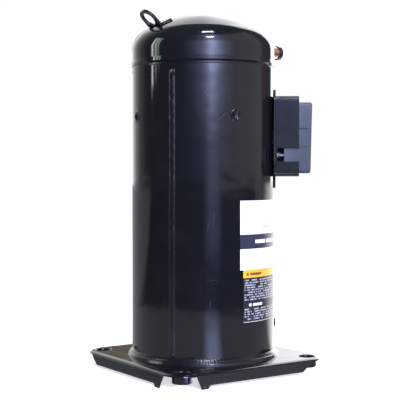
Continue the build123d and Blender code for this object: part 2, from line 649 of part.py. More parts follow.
with BuildPart() as pressure_relief_valve:
    with BuildSketch(Plane.XY.offset(391)):
        with Locations((0, -38)):
            Circle(4.5 - RUNNING_GAP)
            Circle(1.5, mode=Mode.SUBTRACT)
    extrude(amount=14)
    with BuildSketch(Plane.XY.offset(400.05)):
        with Locations((0, -38)):
            RegularPolygon(7, 6)
            Circle(4.4, mode=Mode.SUBTRACT)
    extrude(amount=3.4)
write_piece(pressure_relief_valve, "pressure_relief_valve")

with BuildPart() as check_valve_disc:
    with BuildSketch(Plane.XY.offset(400.05)):
        Circle(14.5)
    extrude(amount=1.5)
write_piece(check_valve_disc, "check_valve_disc")

with BuildPart() as valve_retainer:
    ring(16, 19, 400.02, 408)
    ring(16, 24, 400.02, 401.6)
    ring(5, 19, 408, 410)
    with BuildSketch(Plane.XY.offset(402.5)):
        Rectangle(60, 9)
        Rectangle(9, 60)
    extrude(amount=4.5, mode=Mode.SUBTRACT)
write_piece(valve_retainer, "valve_retainer")

groove_in, groove_out = SEAL_GROOVE_R
with BuildPart() as floating_seal:
    ring(groove_in + 0.3, groove_out - 0.3, SEAL_GROOVE_Z + 0.2, 388)
    ring(groove_in + 3, groove_in + 6, 388, 395.7)
write_piece(floating_seal, "floating_seal")

# ================================================================================================
# Scroll set
# ================================================================================================
def involute_point(roll, sideways, turn, centre_x):
    """A point on a wrap: the base circle's involute at this roll angle, moved sideways."""
    thread = BASE_CIRCLE_R * roll + sideways
    x = BASE_CIRCLE_R * cos(roll) + thread * sin(roll)
    y = BASE_CIRCLE_R * sin(roll) - thread * cos(roll)
    return (x * cos(turn) - y * sin(turn) + centre_x, x * sin(turn) + y * cos(turn))


def wrap_outline(turn, centre_x):
    """Closed outline of one wrap: two involutes, joined by a half round at each end."""
    half = WRAP_THICK / 2
    wrap_end = WRAP_START + 2 * pi * WRAP_TURNS
    steps = 60
    rolls = [WRAP_START + (wrap_end - WRAP_START) * i / steps for i in range(steps + 1)]

    def tip(roll, along):
        x, y = involute_point(roll, 0, turn, centre_x)
        return (x + along * cos(roll + turn), y + along * sin(roll + turn))

    outer = Spline(*[involute_point(roll, half, turn, centre_x) for roll in rolls])
    inner = Spline(*[involute_point(roll, -half, turn, centre_x) for roll in rolls])
    ThreePointArc(outer @ 0, tip(WRAP_START, -half), inner @ 0)
    ThreePointArc(outer @ 1, tip(wrap_end, half), inner @ 1)


skirt_in, skirt_out = SCROLL_SKIRT_R
skirt_z, floor_z, ledge_z, top_z = FIXED_Z
with BuildPart() as fixed_scroll:
    ring(skirt_in, skirt_out, skirt_z, floor_z)
    ring(5, skirt_out, floor_z, ledge_z)
    ring(5, FIXED_TOP_R, ledge_z, top_z)
    with BuildSketch(Plane.XY.offset(SEAL_GROOVE_Z)):
        Circle(groove_out)
        Circle(groove_in, mode=Mode.SUBTRACT)
        Circle(9)
    extrude(amount=top_z - SEAL_GROOVE_Z, mode=Mode.SUBTRACT)
    with BuildSketch(Plane.XY.offset(ORBITING_Z[1] + TIP_GAP)):
        with BuildLine():
            wrap_outline(0, 0)
        make_face()
    extrude(amount=floor_z - ORBITING_Z[1] - TIP_GAP)
    with BuildSketch(Plane.XY.offset(skirt_z - 1)):
        with PolarLocations(SCROLL_BOLT_CIRCLE_R, SCROLL_BOLT_COUNT):
            Circle(SCROLL_BOLT_R + 0.3)
    extrude(amount=ledge_z - skirt_z + 2, mode=Mode.SUBTRACT)
    # suction gas enters through a window in the skirt
    with BuildSketch(Plane.XY.offset(skirt_z + 5)):
        with Locations((0, skirt_out - 5)):
            Rectangle(36, 20)
    extrude(amount=16, mode=Mode.SUBTRACT)
write_piece(fixed_scroll, "fixed_scroll")

orbit_low, orbit_high = ORBITING_Z
with BuildPart() as orbiting_scroll:
    with BuildSketch(Plane.XY.offset(orbit_low)):
        with Locations((ORBIT, 0)):
            Circle(ORBITING_PLATE_R)
    extrude(amount=orbit_high - orbit_low)
    with BuildSketch(Plane.XY.offset(orbit_high)):
        with BuildLine():
            wrap_outline(pi, ORBIT)
        make_face()
    extrude(amount=floor_z - TIP_GAP - orbit_high)
    with BuildSketch(Plane.XY.offset(SHAFT_Z[3] + 2.5)):
        with Locations((ORBIT, 0)):
            Circle(ORBIT_BUSH_R + 6)
    extrude(amount=orbit_low - SHAFT_Z[3] - 2.5)
    with BuildSketch(Plane.XY.offset(SHAFT_Z[3] + 2.5)):
        with Locations((ORBIT, 0)):
            Circle(ORBIT_BUSH_R + SEAT_GAP)
    extrude(amount=SHAFT_Z[4] - SHAFT_Z[3], mode=Mode.SUBTRACT)
    # pockets for the coupling ring's upper keys, wide enough for every crank and ring position
    key_reach = KEY_RADIUS - KEY_LENGTH / 2 - ORBIT - 0.35
    with BuildSketch(Plane.XY.offset(orbit_low)):
        for side in (-1, 1):
            with Locations((ORBIT + side * (key_reach + 10), 0)):
                Rectangle(20, KEY_WIDTH + 4 * ORBIT + 0.6)
    extrude(amount=5.4, mode=Mode.SUBTRACT)
write_piece(orbiting_scroll, "orbiting_scroll")

with BuildPart() as orbiting_bush:
    with BuildSketch(Plane.XY.offset(SHAFT_Z[3] + 2.5)):
        with Locations((ORBIT, 0)):
            Circle(ORBIT_BUSH_R)
            Circle(DRIVE_BUSH_R + RUNNING_GAP, mode=Mode.SUBTRACT)
    extrude(amount=25)
write_piece(orbiting_bush, "orbiting_bush")

with BuildPart() as oldham_ring:
    ring(*OLDHAM_R, *OLDHAM_Z)
    with BuildSketch(Plane.XY.offset(OLDHAM_Z[1])):
        for side in (-1, 1):
            with Locations((side * KEY_RADIUS, 0)):
                Rectangle(KEY_LENGTH, KEY_WIDTH)
    extrude(amount=8)
    with BuildSketch(Plane.XY.offset(OLDHAM_Z[0])):
        for side in (-1, 1):
            with Locations((0, side * KEY_RADIUS)):
                Rectangle(KEY_WIDTH, KEY_LENGTH)
    extrude(amount=-6)
write_piece(oldham_ring, "oldham_ring")

with BuildPart() as thrust_plate:
    ring(HOUSING_CAVITY[0], HOUSING_PAD[0], HOUSING_PAD[1], orbit_low - RUNNING_GAP)
write_piece(thrust_plate, "thrust_plate")

with BuildPart() as main_bearing_housing:
    with BuildSketch(Plane.XZ):
        with BuildLine():
            Polyline(
                (UPPER_BUSH_R + SEAT_GAP, HOUSING_BOTTOM),
                (HOUSING_HUB_R, HOUSING_BOTTOM),
                (HOUSING_HUB_R + 2, 292),
                (44, 299),
                (skirt_out - 3, 313),
                (skirt_out, 317),
                (skirt_out, skirt_z),
                (skirt_in, skirt_z),
                (skirt_in, HOUSING_FLOOR),
                (HOUSING_PAD[0], HOUSING_FLOOR),
                HOUSING_PAD,
                (HOUSING_CAVITY[0], HOUSING_PAD[1]),
                HOUSING_CAVITY,
                (UPPER_BUSH_R + SEAT_GAP, HOUSING_CAVITY[1]),
                close=True,
            )
        make_face()
    revolve(axis=Axis.Z)
    with BuildSketch(Plane.XY.offset(HOUSING_ARM_Z[0])):
        with PolarLocations(82, 4, start_angle=PLUG_WELD_ANGLES[0]):
            Rectangle(22, HOUSING_ARM_WIDTH)
        Circle(SHELL_BORE_R - FIT_GAP, mode=Mode.INTERSECT)
    extrude(amount=HOUSING_ARM_Z[1] - HOUSING_ARM_Z[0])
    with BuildSketch(Plane.XY.offset(HOUSING_FLOOR)):
        for side in (-1, 1):
            with Locations((0, side * (KEY_RADIUS + 0.1))):
                Rectangle(KEY_WIDTH + 2 * KEY_GAP, KEY_LENGTH + 2 * ORBIT + 1)
    extrude(amount=-6.4, mode=Mode.SUBTRACT)
    with BuildSketch(Plane.XY.offset(skirt_z)):
        with PolarLocations(SCROLL_BOLT_CIRCLE_R, SCROLL_BOLT_COUNT):
            Circle(SCROLL_BOLT_R + SEAT_GAP)
    extrude(amount=-20, mode=Mode.SUBTRACT)
write_piece(main_bearing_housing, "main_bearing_housing")

with BuildPart() as scroll_bolts:
    with BuildSketch(Plane.XY.offset(skirt_z - 18)):
        with PolarLocations(SCROLL_BOLT_CIRCLE_R, SCROLL_BOLT_COUNT):
            Circle(SCROLL_BOLT_R)
    extrude(amount=ledge_z - skirt_z + 18)
    with BuildSketch(Plane.XY.offset(ledge_z)):
        with PolarLocations(SCROLL_BOLT_CIRCLE_R, SCROLL_BOLT_COUNT):
            RegularPolygon(5.2, 6)
    extrude(amount=5)
write_piece(scroll_bolts, "scroll_bolts")

with BuildPart() as upper_bush:
    ring(JOURNAL_R + RUNNING_GAP, UPPER_BUSH_R, HOUSING_BOTTOM, HOUSING_CAVITY[1] - 2)
write_piece(upper_bush, "upper_bush")

# ================================================================================================
# Crankshaft and what turns with it
# ================================================================================================
shaft_end, shoulder_z, journal_z, pin_z, pin_top = SHAFT_Z
with BuildPart() as crankshaft:
    for radius, low, high in (
        (LOWER_JOURNAL_R, shaft_end, shoulder_z),
        (SHAFT_R, shoulder_z, journal_z),
        (JOURNAL_R, journal_z, pin_z),
    ):
        with BuildSketch(Plane.XY.offset(low)):
            Circle(radius)
        extrude(amount=high - low)
    with BuildSketch(Plane.XY.offset(pin_z)):
        with Locations((ORBIT, 0)):
            Circle(CRANK_PIN_R)
    extrude(amount=pin_top - pin_z)
    with BuildSketch(Plane.XY.offset(shaft_end)):
        with Locations((ORBIT, 0)):
            Circle(OIL_BORE_R)
    extrude(amount=pin_top - shaft_end, mode=Mode.SUBTRACT)
write_piece(crankshaft, "crankshaft")

with BuildPart() as drive_bushing:
    with BuildSketch(Plane.XY.offset(pin_z + 0.5)):
        with Locations((ORBIT, 0)):
            Circle(DRIVE_BUSH_R)
            Circle(CRANK_PIN_R + SEAT_GAP, mode=Mode.SUBTRACT)
    extrude(amount=pin_top - pin_z - 1)
write_piece(drive_bushing, "drive_bushing")


def counterweight(bore_r, hub_r, rim_r, low, high, side):
    """A hub with a half ring on one side of the shaft, built in the open part."""
    with BuildSketch(Plane.XY.offset(low)) as section:
        Circle(rim_r)
        with Locations((-side * rim_r, 0)):
            Rectangle(2 * rim_r, 2 * rim_r, mode=Mode.SUBTRACT)
        Circle(hub_r)
        Circle(bore_r, mode=Mode.SUBTRACT)
    extrude(section.sketch, amount=high - low)


with BuildPart() as upper_counterweight:
    counterweight(JOURNAL_R + SEAT_GAP, 25, 46, 230, 256, -1)
write_piece(upper_counterweight, "upper_counterweight")

with BuildPart() as lower_counterweight:
    counterweight(SHAFT_R + SEAT_GAP, 20, 42, 89, 103.9, 1)
write_piece(lower_counterweight, "lower_counterweight")

with BuildPart() as rotor_core:
    ring(SHAFT_R + SEAT_GAP, ROTOR_R, *ROTOR_Z)
write_piece(rotor_core, "rotor_core")

with BuildPart() as rotor_end_rings:
    ring(30, ROTOR_R - 0.5, ROTOR_Z[1], ROTOR_Z[1] + 8)
    ring(30, ROTOR_R - 0.5, ROTOR_Z[0] - 8, ROTOR_Z[0])
write_piece(rotor_end_rings, "rotor_end_rings")

with BuildPart() as oil_pickup:
    with BuildSketch(Plane.XZ):
        with BuildLine():
            Polyline((0, 22), (5, 22), (9.5, 34), (9.5, shaft_end), (0, shaft_end), close=True)
        make_face()
    revolve(axis=Axis.Z)
    with BuildSketch(Plane.XY.offset(21)):
        Circle(3)
    extrude(amount=16, mode=Mode.SUBTRACT)
    with BuildSketch(Plane.XY.offset(36)):
        Circle(8)
    extrude(amount=8, mode=Mode.SUBTRACT)
write_piece(oil_pickup, "oil_pickup")

# ================================================================================================
# Lower bearing
# ================================================================================================
with BuildPart() as lower_bearing_housing:
    ring(LOWER_BUSH_R + SEAT_GAP, LOWER_HOUSING_HUB_R, *LOWER_HOUSING_Z)
    with BuildSketch(Plane.XY.offset(54)):
        with PolarLocations(52, 3, start_angle=30):
            Rectangle(76, 22)
        Circle(SHELL_BORE_R - FIT_GAP, mode=Mode.INTERSECT)
        Circle(LOWER_HOUSING_HUB_R - 1, mode=Mode.SUBTRACT)
    extrude(amount=10)
    with BuildSketch(Plane.XY.offset(50)):
        with PolarLocations(86, 3, start_angle=30):
            Rectangle(8, 30)
        Circle(SHELL_BORE_R - FIT_GAP, mode=Mode.INTERSECT)
    extrude(amount=20)
write_piece(lower_bearing_housing, "lower_bearing_housing")

with BuildPart() as lower_bush:
    ring(LOWER_JOURNAL_R + RUNNING_GAP, LOWER_BUSH_R, *LOWER_HOUSING_Z)
write_piece(lower_bush, "lower_bush")

with BuildPart() as thrust_washer:
    ring(LOWER_JOURNAL_R + 0.3, 20, LOWER_HOUSING_Z[1], shoulder_z - RUNNING_GAP)
write_piece(thrust_washer, "thrust_washer")

with BuildPart() as sump_magnet:
    ring(3, 9, BOTTOM_APEX + SHELL_WALL + 0.25, BOTTOM_APEX + SHELL_WALL + 4.5)
write_piece(sump_magnet, "sump_magnet")

# ================================================================================================
# Motor
# ================================================================================================
slot_mid = sum(SLOT_R) / 2
slot_length = SLOT_R[1] - SLOT_R[0]
with BuildPart() as stator_core:
    with BuildSketch(Plane.XY.offset(STATOR_Z[0])):
        Circle(SHELL_BORE_R - FIT_GAP)
        Circle(STATOR_BORE_R, mode=Mode.SUBTRACT)
        with PolarLocations(slot_mid, SLOT_COUNT):
            Rectangle(slot_length, SLOT_WIDTH, mode=Mode.SUBTRACT)
        with PolarLocations((STATOR_BORE_R + SLOT_R[0]) / 2, SLOT_COUNT):
            Rectangle(SLOT_R[0] - STATOR_BORE_R + 2, 2.4, mode=Mode.SUBTRACT)
        # oil runs back to the sump through flats on the outside
        with PolarLocations(SHELL_BORE_R, 6, start_angle=15):
            Rectangle(10, 16, mode=Mode.SUBTRACT)
    extrude(amount=STATOR_Z[1] - STATOR_Z[0])
write_piece(stator_core, "stator_core")

with BuildPart() as stator_winding:
    end_turn_mid = sum(WINDING_R) / 2
    end_turn_width = WINDING_R[1] - WINDING_R[0]
    for low in (STATOR_Z[1] + WINDING_GAP, STATOR_Z[0] - WINDING_GAP - WINDING_HEIGHT + 0.6):
        with BuildSketch(Plane.XZ):
            with Locations((end_turn_mid, low + (WINDING_HEIGHT - 0.6) / 2)):
                RectangleRounded(end_turn_width, WINDING_HEIGHT - 0.6, 8)
        revolve(axis=Axis.Z)
    with BuildSketch(Plane.XY.offset(STATOR_Z[0] - 4)):
        with PolarLocations(slot_mid, SLOT_COUNT):
            Rectangle(slot_length - 2 * WINDING_GAP, SLOT_WIDTH - 2 * WINDING_GAP)
    extrude(amount=STATOR_Z[1] - STATOR_Z[0] + 8)
write_piece(stator_winding, "stator_winding")

winding_top = STATOR_Z[1] + WINDING_GAP + WINDING_HEIGHT - 0.6
with BuildPart() as motor_protector:
    with BuildSketch(Plane.XY.offset(winding_top + 0.05)):
        with Locations(Location((64 * cos(radians(135)), 64 * sin(radians(135)), 0), (0, 0, 135))):
            RectangleRounded(12, 26, 3)
    extrude(amount=9)
write_piece(motor_protector, "motor_protector")

with BuildPart() as internal_plug:
    with BuildSketch(radial_plane(BOX_ANGLE, 73, TERMINAL_Z)):
        RectangleRounded(24, 24, 3)
    extrude(amount=9.3)
    with BuildSketch(radial_plane(BOX_ANGLE, 75.5, TERMINAL_Z)):
        with Locations(*pin_places):
            Circle(PIN_R + RUNNING_GAP)
    extrude(amount=10, mode=Mode.SUBTRACT)
write_piece(internal_plug, "internal_plug")

# three leads drop from the plug and turn in to the winding's upper end turns
plug_bottom = TERMINAL_Z - 12
with BuildPart() as motor_leads:
    for across in (-6, 0, 6):
        lead_plane = Plane(origin=radial_plane(BOX_ANGLE, 0).x_dir * across,
                           x_dir=radial_plane(BOX_ANGLE, 1).z_dir,
                           z_dir=-radial_plane(BOX_ANGLE, 1).x_dir)
        with BuildLine(lead_plane) as route:
            FilletPolyline((77, plug_bottom), (77, 264), (68, 248), (68, winding_top + 0.05), radius=12)
        with BuildSketch(Plane(origin=route.line @ 0, z_dir=route.line % 0)):
            Circle(1.8)
        sweep(path=route.line)
write_piece(motor_leads, "motor_leads")

# a curved baffle turns the incoming gas away from the winding
with BuildPart() as suction_baffle:
    with BuildSketch(Plane.XY.offset(226)):
        with BuildLine():
            Polyline((0, 0), (-40, 120), (40, 120), close=True)
        make_face()
        Circle(82.6, mode=Mode.INTERSECT)
        Circle(81, mode=Mode.SUBTRACT)
        for side in (-1, 1):
            foot_angle = 90 + side * degrees(atan2(40, 120))
            with Locations(Location((84.8 * cos(radians(foot_angle)),
                                     84.8 * sin(radians(foot_angle)), 0), (0, 0, foot_angle))):
                Rectangle(7.2, 1.6)
    extrude(amount=42)
write_piece(suction_baffle, "suction_baffle")
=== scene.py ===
import json
from math import cos, exp, pi, radians, sin, sqrt, tan

import bmesh
import bpy
from mathutils import Euler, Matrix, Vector, noise


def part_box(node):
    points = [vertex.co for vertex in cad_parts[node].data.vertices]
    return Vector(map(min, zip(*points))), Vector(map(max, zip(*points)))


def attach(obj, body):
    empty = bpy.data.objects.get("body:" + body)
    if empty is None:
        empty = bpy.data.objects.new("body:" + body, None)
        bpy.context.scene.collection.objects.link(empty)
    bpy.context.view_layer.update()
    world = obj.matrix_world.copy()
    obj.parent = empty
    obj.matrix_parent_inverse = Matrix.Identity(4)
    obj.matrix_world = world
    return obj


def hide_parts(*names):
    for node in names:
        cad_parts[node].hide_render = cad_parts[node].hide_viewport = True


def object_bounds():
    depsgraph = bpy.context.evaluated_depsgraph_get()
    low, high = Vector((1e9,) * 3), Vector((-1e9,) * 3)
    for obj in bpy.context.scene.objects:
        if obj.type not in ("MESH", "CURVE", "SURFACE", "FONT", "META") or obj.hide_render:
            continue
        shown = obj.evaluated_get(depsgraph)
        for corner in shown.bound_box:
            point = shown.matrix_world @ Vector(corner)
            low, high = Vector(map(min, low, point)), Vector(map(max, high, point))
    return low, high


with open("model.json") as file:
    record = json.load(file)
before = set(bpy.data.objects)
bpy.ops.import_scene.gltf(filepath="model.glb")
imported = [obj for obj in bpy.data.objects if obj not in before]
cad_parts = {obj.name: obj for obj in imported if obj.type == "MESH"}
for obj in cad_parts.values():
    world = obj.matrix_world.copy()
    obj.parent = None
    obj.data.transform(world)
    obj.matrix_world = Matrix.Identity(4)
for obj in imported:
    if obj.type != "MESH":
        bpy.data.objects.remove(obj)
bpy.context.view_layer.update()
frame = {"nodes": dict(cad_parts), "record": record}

# A hermetic scroll compressor: glossy black can on a square base plate. Metres. Angles about the
# shell's axis are in degrees from +X, as in the CAD model.

MM = 0.001

# ---- places read from the frame ---------------------------------------------------------------
shell_low, shell_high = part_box("shell_tube")
SHELL_R = (shell_high.x - shell_low.x) / 2
SHELL_TOP = shell_high.z
CAP_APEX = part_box("top_cap")[1].z
OBJECT_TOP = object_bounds()[1].z

# ---- camera -----------------------------------------------------------------------------------
CAMERA_AZIMUTH = -34.4      # 0 looks along +Y
CAMERA_DISTANCE = 1.35      # from the shell's axis
CAMERA_HEIGHT = 0.2563
CAMERA_PITCH = -1.655
CAMERA_YAW = 0.171          # the aim passes this far to the left of the axis
CAMERA_LENS = 93.5          # on a 36 mm sensor


# ================================================================================================
# Shader graphs
# ================================================================================================
class Graph:
    """A node graph with short names for the steps that repeat."""

    def __init__(self, tree):
        self.tree = tree
        self.tree.nodes.clear()

    def add(self, kind, inputs=None, **settings):
        """Add a node. A socket given as an input is linked, anything else is set on the input."""
        made = self.tree.nodes.new(kind)
        for name, value in settings.items():
            setattr(made, name, value)
        for name, value in (inputs or {}).items():
            if isinstance(value, bpy.types.NodeSocket):
                self.tree.links.new(value, made.inputs[name])
            else:
                made.inputs[name].default_value = value
        return made

    def math(self, operation, *values, clamp=False):
        made = self.add("ShaderNodeMath", dict(enumerate(values)), operation=operation, use_clamp=clamp)
        return made.outputs[0]

    def place(self):
        """Position in the object's own frame, which is the CAD frame."""
        return self.add("ShaderNodeTexCoord").outputs["Object"]

    def split(self, vector):
        made = self.add("ShaderNodeSeparateXYZ", {0: vector})
        return made.outputs[0], made.outputs[1], made.outputs[2]

    def stretch(self, vector, scale):
        """The vector with each coordinate multiplied, to stretch a texture."""
        return self.add("ShaderNodeVectorMath", {0: vector, 1: scale}, operation="MULTIPLY").outputs[0]

    def noise(self, vector, scale, detail=2.0, roughness=0.5):
        made = self.add("ShaderNodeTexNoise", {"Vector": vector, "Scale": scale, "Detail": detail,
                                               "Roughness": roughness})
        return made.outputs[0]

    def ramp(self, value, low, high, to_low=0.0, to_high=1.0):
        """Map low..high smoothly to to_low..to_high, and hold it outside."""
        made = self.add("ShaderNodeMapRange", {0: value, 1: low, 2: high, 3: to_low, 4: to_high},
                        interpolation_type="SMOOTHSTEP")
        return made.outputs[0]

    def mix(self, factor, first, second):
        made = self.add("ShaderNodeMix", data_type="RGBA")
        for socket, value in ((made.inputs[0], factor), (made.inputs[6], first), (made.inputs[7], second)):
            if isinstance(value, bpy.types.NodeSocket):
                self.tree.links.new(value, socket)
            elif isinstance(value, (int, float)):
                socket.default_value = value
            else:
                socket.default_value = (*value, 1)
        return made.outputs[2]

    def bump(self, height, depth, normal=None):
        """A normal that shows this height field, depth metres tall."""
        inputs = {"Height": height, "Distance": depth, "Strength": 1.0}
        if normal is not None:
            inputs["Normal"] = normal
        return self.add("ShaderNodeBump", inputs).outputs[0]

    def within(self, value, low, high, soft):
        """1 where the value lies between low and high, with soft edges."""
        rise = self.ramp(value, low - soft, low + soft)
        fall = self.ramp(value, high - soft, high + soft, 1.0, 0.0)
        return self.math("MULTIPLY", rise, fall)

    def shell_coordinates(self):
        """Distance round the shell in metres from +X, and height."""
        x, y, z = self.split(self.place())
        return self.math("MULTIPLY", self.math("ARCTAN2", y, x), SHELL_R), z


def material(name, build, **options):
    """A new material whose graph the build function makes; it returns the shader's inputs."""
    made = bpy.data.materials.new(name)
    made.use_nodes = True
    graph = Graph(made.node_tree)
    inputs = build(graph, **options)
    shader = graph.add("ShaderNodeBsdfPrincipled", inputs)
    graph.add("ShaderNodeOutputMaterial", {"Surface": shader.outputs[0]})
    return made


def colour(red, green, blue):
    return (red, green, blue, 1.0)


# ================================================================================================
# Materials
# ================================================================================================
BLACK = (0.0046, 0.0055, 0.0074)
DUSTY = (0.036, 0.036, 0.042)

# scratches on the shell: angle, height, length, tilt from the horizontal, width (degrees and mm)
SCRATCHES = (
    (-109.8, 321.0, 18.0, 38.0, 0.35),
    (-108.6, 322.5, 14.0, 36.0, 0.21),
    (-122.0, 352.0, 9.0, 62.0, 0.21),
    (-116.5, 196.0, 22.0, 84.0, 0.28),
    (-120.5, 188.0, 16.0, 78.0, 0.21),
    (-117.0, 122.0, 17.0, 8.0, 0.21),
    (-119.0, 92.0, 12.0, 86.0, 0.35),
    (20.0, 210.0, 30.0, 55.0, 0.28),
    (24.0, 198.0, 18.0, 60.0, 0.21),
    (152.0, 150.0, 26.0, 20.0, 0.28),
    (118.0, 290.0, 20.0, 70.0, 0.21),
)


def scratch_mask(graph, marks):
    """1 on each of the scratches, each a thin line that fades at its ends."""
    around, up = graph.shell_coordinates()
    total = None
    for angle, height, length, tilt, width in marks:
        right = graph.math("SUBTRACT", around, radians(angle) * SHELL_R)
        above = graph.math("SUBTRACT", up, height * MM)
        slope = radians(tilt)
        along = graph.math("ADD", graph.math("MULTIPLY", right, cos(slope)),
                           graph.math("MULTIPLY", above, sin(slope)))
        across = graph.math("SUBTRACT", graph.math("MULTIPLY", above, cos(slope)),
                            graph.math("MULTIPLY", right, sin(slope)))
        line = graph.ramp(graph.math("ABSOLUTE", across), 0.2 * width * MM, width * MM, 1.0, 0.0)
        ends = graph.ramp(graph.math("ABSOLUTE", along), 0.2 * length * MM, 0.55 * length * MM, 1.0, 0.0)
        mark = graph.math("MULTIPLY", line, ends)
        total = mark if total is None else graph.math("MAXIMUM", total, mark)
    return total


def paint(graph, base=BLACK, gloss=0.065, dust=0.5, rough_cast=0.0, marks=()):
    """Gloss enamel: a slight orange peel, soft waves, streaks down the wall, fine dust and scuffs."""
    place = graph.place()
    waves = graph.noise(place, 38, 1.0)
    peel = graph.noise(place, 650, 1.0)
    normal = graph.bump(waves, 0.00022)
    normal = graph.bump(peel, 0.0000035, normal)
    if rough_cast:
        normal = graph.bump(graph.noise(place, 420, 4.0, 0.6), rough_cast, normal)
    streaks = graph.noise(graph.stretch(place, (260, 260, 5)), 1.0, 3.0)
    patches = graph.ramp(graph.noise(place, 22, 4.0, 0.6), 0.45, 0.75)
    specks = graph.ramp(graph.noise(place, 1500, 1.0), 0.66, 0.74)
    specks = graph.math("MULTIPLY", specks, graph.math("ADD", patches, 0.25))
    rough = graph.math("MULTIPLY_ADD", streaks, 0.07, gloss - 0.03)
    rough = graph.math("MULTIPLY_ADD", patches, 0.04, rough)
    rough = graph.math("MULTIPLY_ADD", specks, 0.25 * dust, rough)
    tone = graph.mix(graph.math("MULTIPLY", specks, 0.55 * dust), base, DUSTY)
    tone = graph.mix(graph.math("MULTIPLY", patches, 0.10 * dust), tone, DUSTY)
    if marks:
        scratches = scratch_mask(graph, marks)
        tone = graph.mix(graph.math("MULTIPLY", scratches, 0.5), tone, (0.085, 0.088, 0.105))
        rough = graph.math("MULTIPLY_ADD", scratches, 0.2, rough)
    return {"Base Color": tone, "Roughness": rough, "Normal": normal, "IOR": 1.5}


def weld_paint(graph):
    """The same enamel, thinner over the scaly surface of a weld."""
    place = graph.place()
    inputs = paint(graph, gloss=0.19, dust=0.7, rough_cast=0.00005)
    scale = graph.ramp(graph.noise(place, 260, 4.0, 0.7), 0.60, 0.72)
    inputs["Base Color"] = graph.mix(graph.math("MULTIPLY", scale, 0.25), inputs["Base Color"],
                                     (0.050, 0.044, 0.040))
    return inputs


def base_paint(graph):
    """Enamel on pressed plate, worn along its lower edges and dusty on top."""
    place = graph.place()
    z = graph.split(place)[2]
    inputs = paint(graph, gloss=0.11, dust=0.8, rough_cast=0.000006)
    low = graph.ramp(z, 1.5 * MM, 7 * MM, 1.0, 0.0)
    chips = graph.ramp(graph.noise(place, 330, 5.0, 0.65), 0.52, 0.60)
    worn = graph.math("MULTIPLY", graph.math("MULTIPLY", low, chips), 0.7)
    inputs["Base Color"] = graph.mix(worn, inputs["Base Color"], (0.10, 0.085, 0.075))
    inputs["Roughness"] = graph.math("MULTIPLY_ADD", worn, 0.35, inputs["Roughness"])
    return inputs


def moulded(graph, base, gloss=0.34, grain=0.00001, grain_scale=900):
    """Moulded plastic with a fine even grain and faint flow marks."""
    place = graph.place()
    grains = graph.noise(place, grain_scale, 2.0)
    flow = graph.noise(graph.stretch(place, (30, 30, 12)), 1.0, 3.0)
    specks = graph.ramp(graph.noise(place, 1900, 0.0), 0.68, 0.76)
    lighter = tuple(min(1.0, c * 1.35 + 0.012) for c in base)
    tone = graph.mix(graph.ramp(flow, 0.35, 0.7), base, lighter)
    tone = graph.mix(graph.math("MULTIPLY", specks, 0.25), tone, (0.30, 0.30, 0.30))
    rough = graph.math("MULTIPLY_ADD", flow, 0.10, gloss - 0.05)
    rough = graph.math("MULTIPLY_ADD", specks, 0.2, rough)
    return {"Base Color": tone, "Roughness": rough, "Normal": graph.bump(grains, grain), "IOR": 1.5}


def moulded_rubber(graph, base):
    """Soft vinyl with a smooth skin, mould marks and clinging dust."""
    place = graph.place()
    skin = graph.noise(place, 500, 3.0)
    dust = graph.ramp(graph.noise(place, 1300, 2.0), 0.60, 0.72)
    tone = graph.mix(graph.math("MULTIPLY", dust, 0.35), base, (0.12, 0.12, 0.13))
    rough = graph.math("MULTIPLY_ADD", dust, 0.25, graph.math("MULTIPLY_ADD", skin, 0.12, 0.20))
    return {"Base Color": tone, "Roughness": rough, "Normal": graph.bump(skin, 0.00002), "IOR": 1.5}


def metal(graph, base, gloss=0.3, grain=(1, 1, 1), grain_depth=0.000004, stain=None, stain_share=0.5):
    """Bare metal with drawn or turned grain, stained in patches."""
    place = graph.place()
    lines = graph.noise(graph.stretch(place, grain), 900, 3.0, 0.6)
    patches = graph.noise(place, 60, 5.0, 0.65)
    darker = stain or tuple(c * 0.55 for c in base)
    tone = graph.mix(graph.math("MULTIPLY", graph.ramp(patches, 0.42, 0.68), stain_share), base, darker)
    tone = graph.mix(graph.math("MULTIPLY", lines, 0.25), tone, darker)
    rough = graph.math("MULTIPLY_ADD", patches, 0.22, gloss - 0.1)
    rough = graph.math("MULTIPLY_ADD", lines, 0.12, rough)
    return {"Base Color": tone, "Roughness": rough, "Normal": graph.bump(lines, grain_depth),
            "Metallic": 1.0}


def cast(graph, base):
    """Grey casting: grainy skin, with darker pores."""
    place = graph.place()
    skin = graph.noise(place, 380, 5.0, 0.65)
    pores = graph.ramp(graph.noise(place, 1100, 2.0), 0.30, 0.40, 1.0, 0.0)
    tone = graph.mix(graph.math("MULTIPLY", pores, 0.6), base, tuple(c * 0.35 for c in base))
    tone = graph.mix(graph.math("MULTIPLY", skin, 0.4), tone, tuple(c * 1.25 for c in base))
    rough = graph.math("MULTIPLY_ADD", skin, 0.3, 0.35)
    return {"Base Color": tone, "Roughness": rough, "Normal": graph.bump(skin, 0.00006), "Metallic": 0.85}


def laminations(graph):
    """Stacked electrical steel, seen as fine lines round the stack."""
    place = graph.place()
    z = graph.split(place)[2]
    sheets = graph.math("FRACT", graph.math("MULTIPLY", z, 1 / (0.65 * MM)))
    gap = graph.ramp(graph.math("ABSOLUTE", graph.math("SUBTRACT", sheets, 0.5)), 0.38, 0.48)
    tint = graph.noise(place, 70, 4.0)
    tone = graph.mix(gap, graph.mix(tint, (0.26, 0.27, 0.30), (0.36, 0.36, 0.37)), (0.05, 0.05, 0.06))
    normal = graph.bump(graph.math("SUBTRACT", 1.0, gap), 0.00003)
    return {"Base Color": tone, "Roughness": graph.math("MULTIPLY_ADD", tint, 0.2, 0.3),
            "Normal": normal, "Metallic": 0.9}


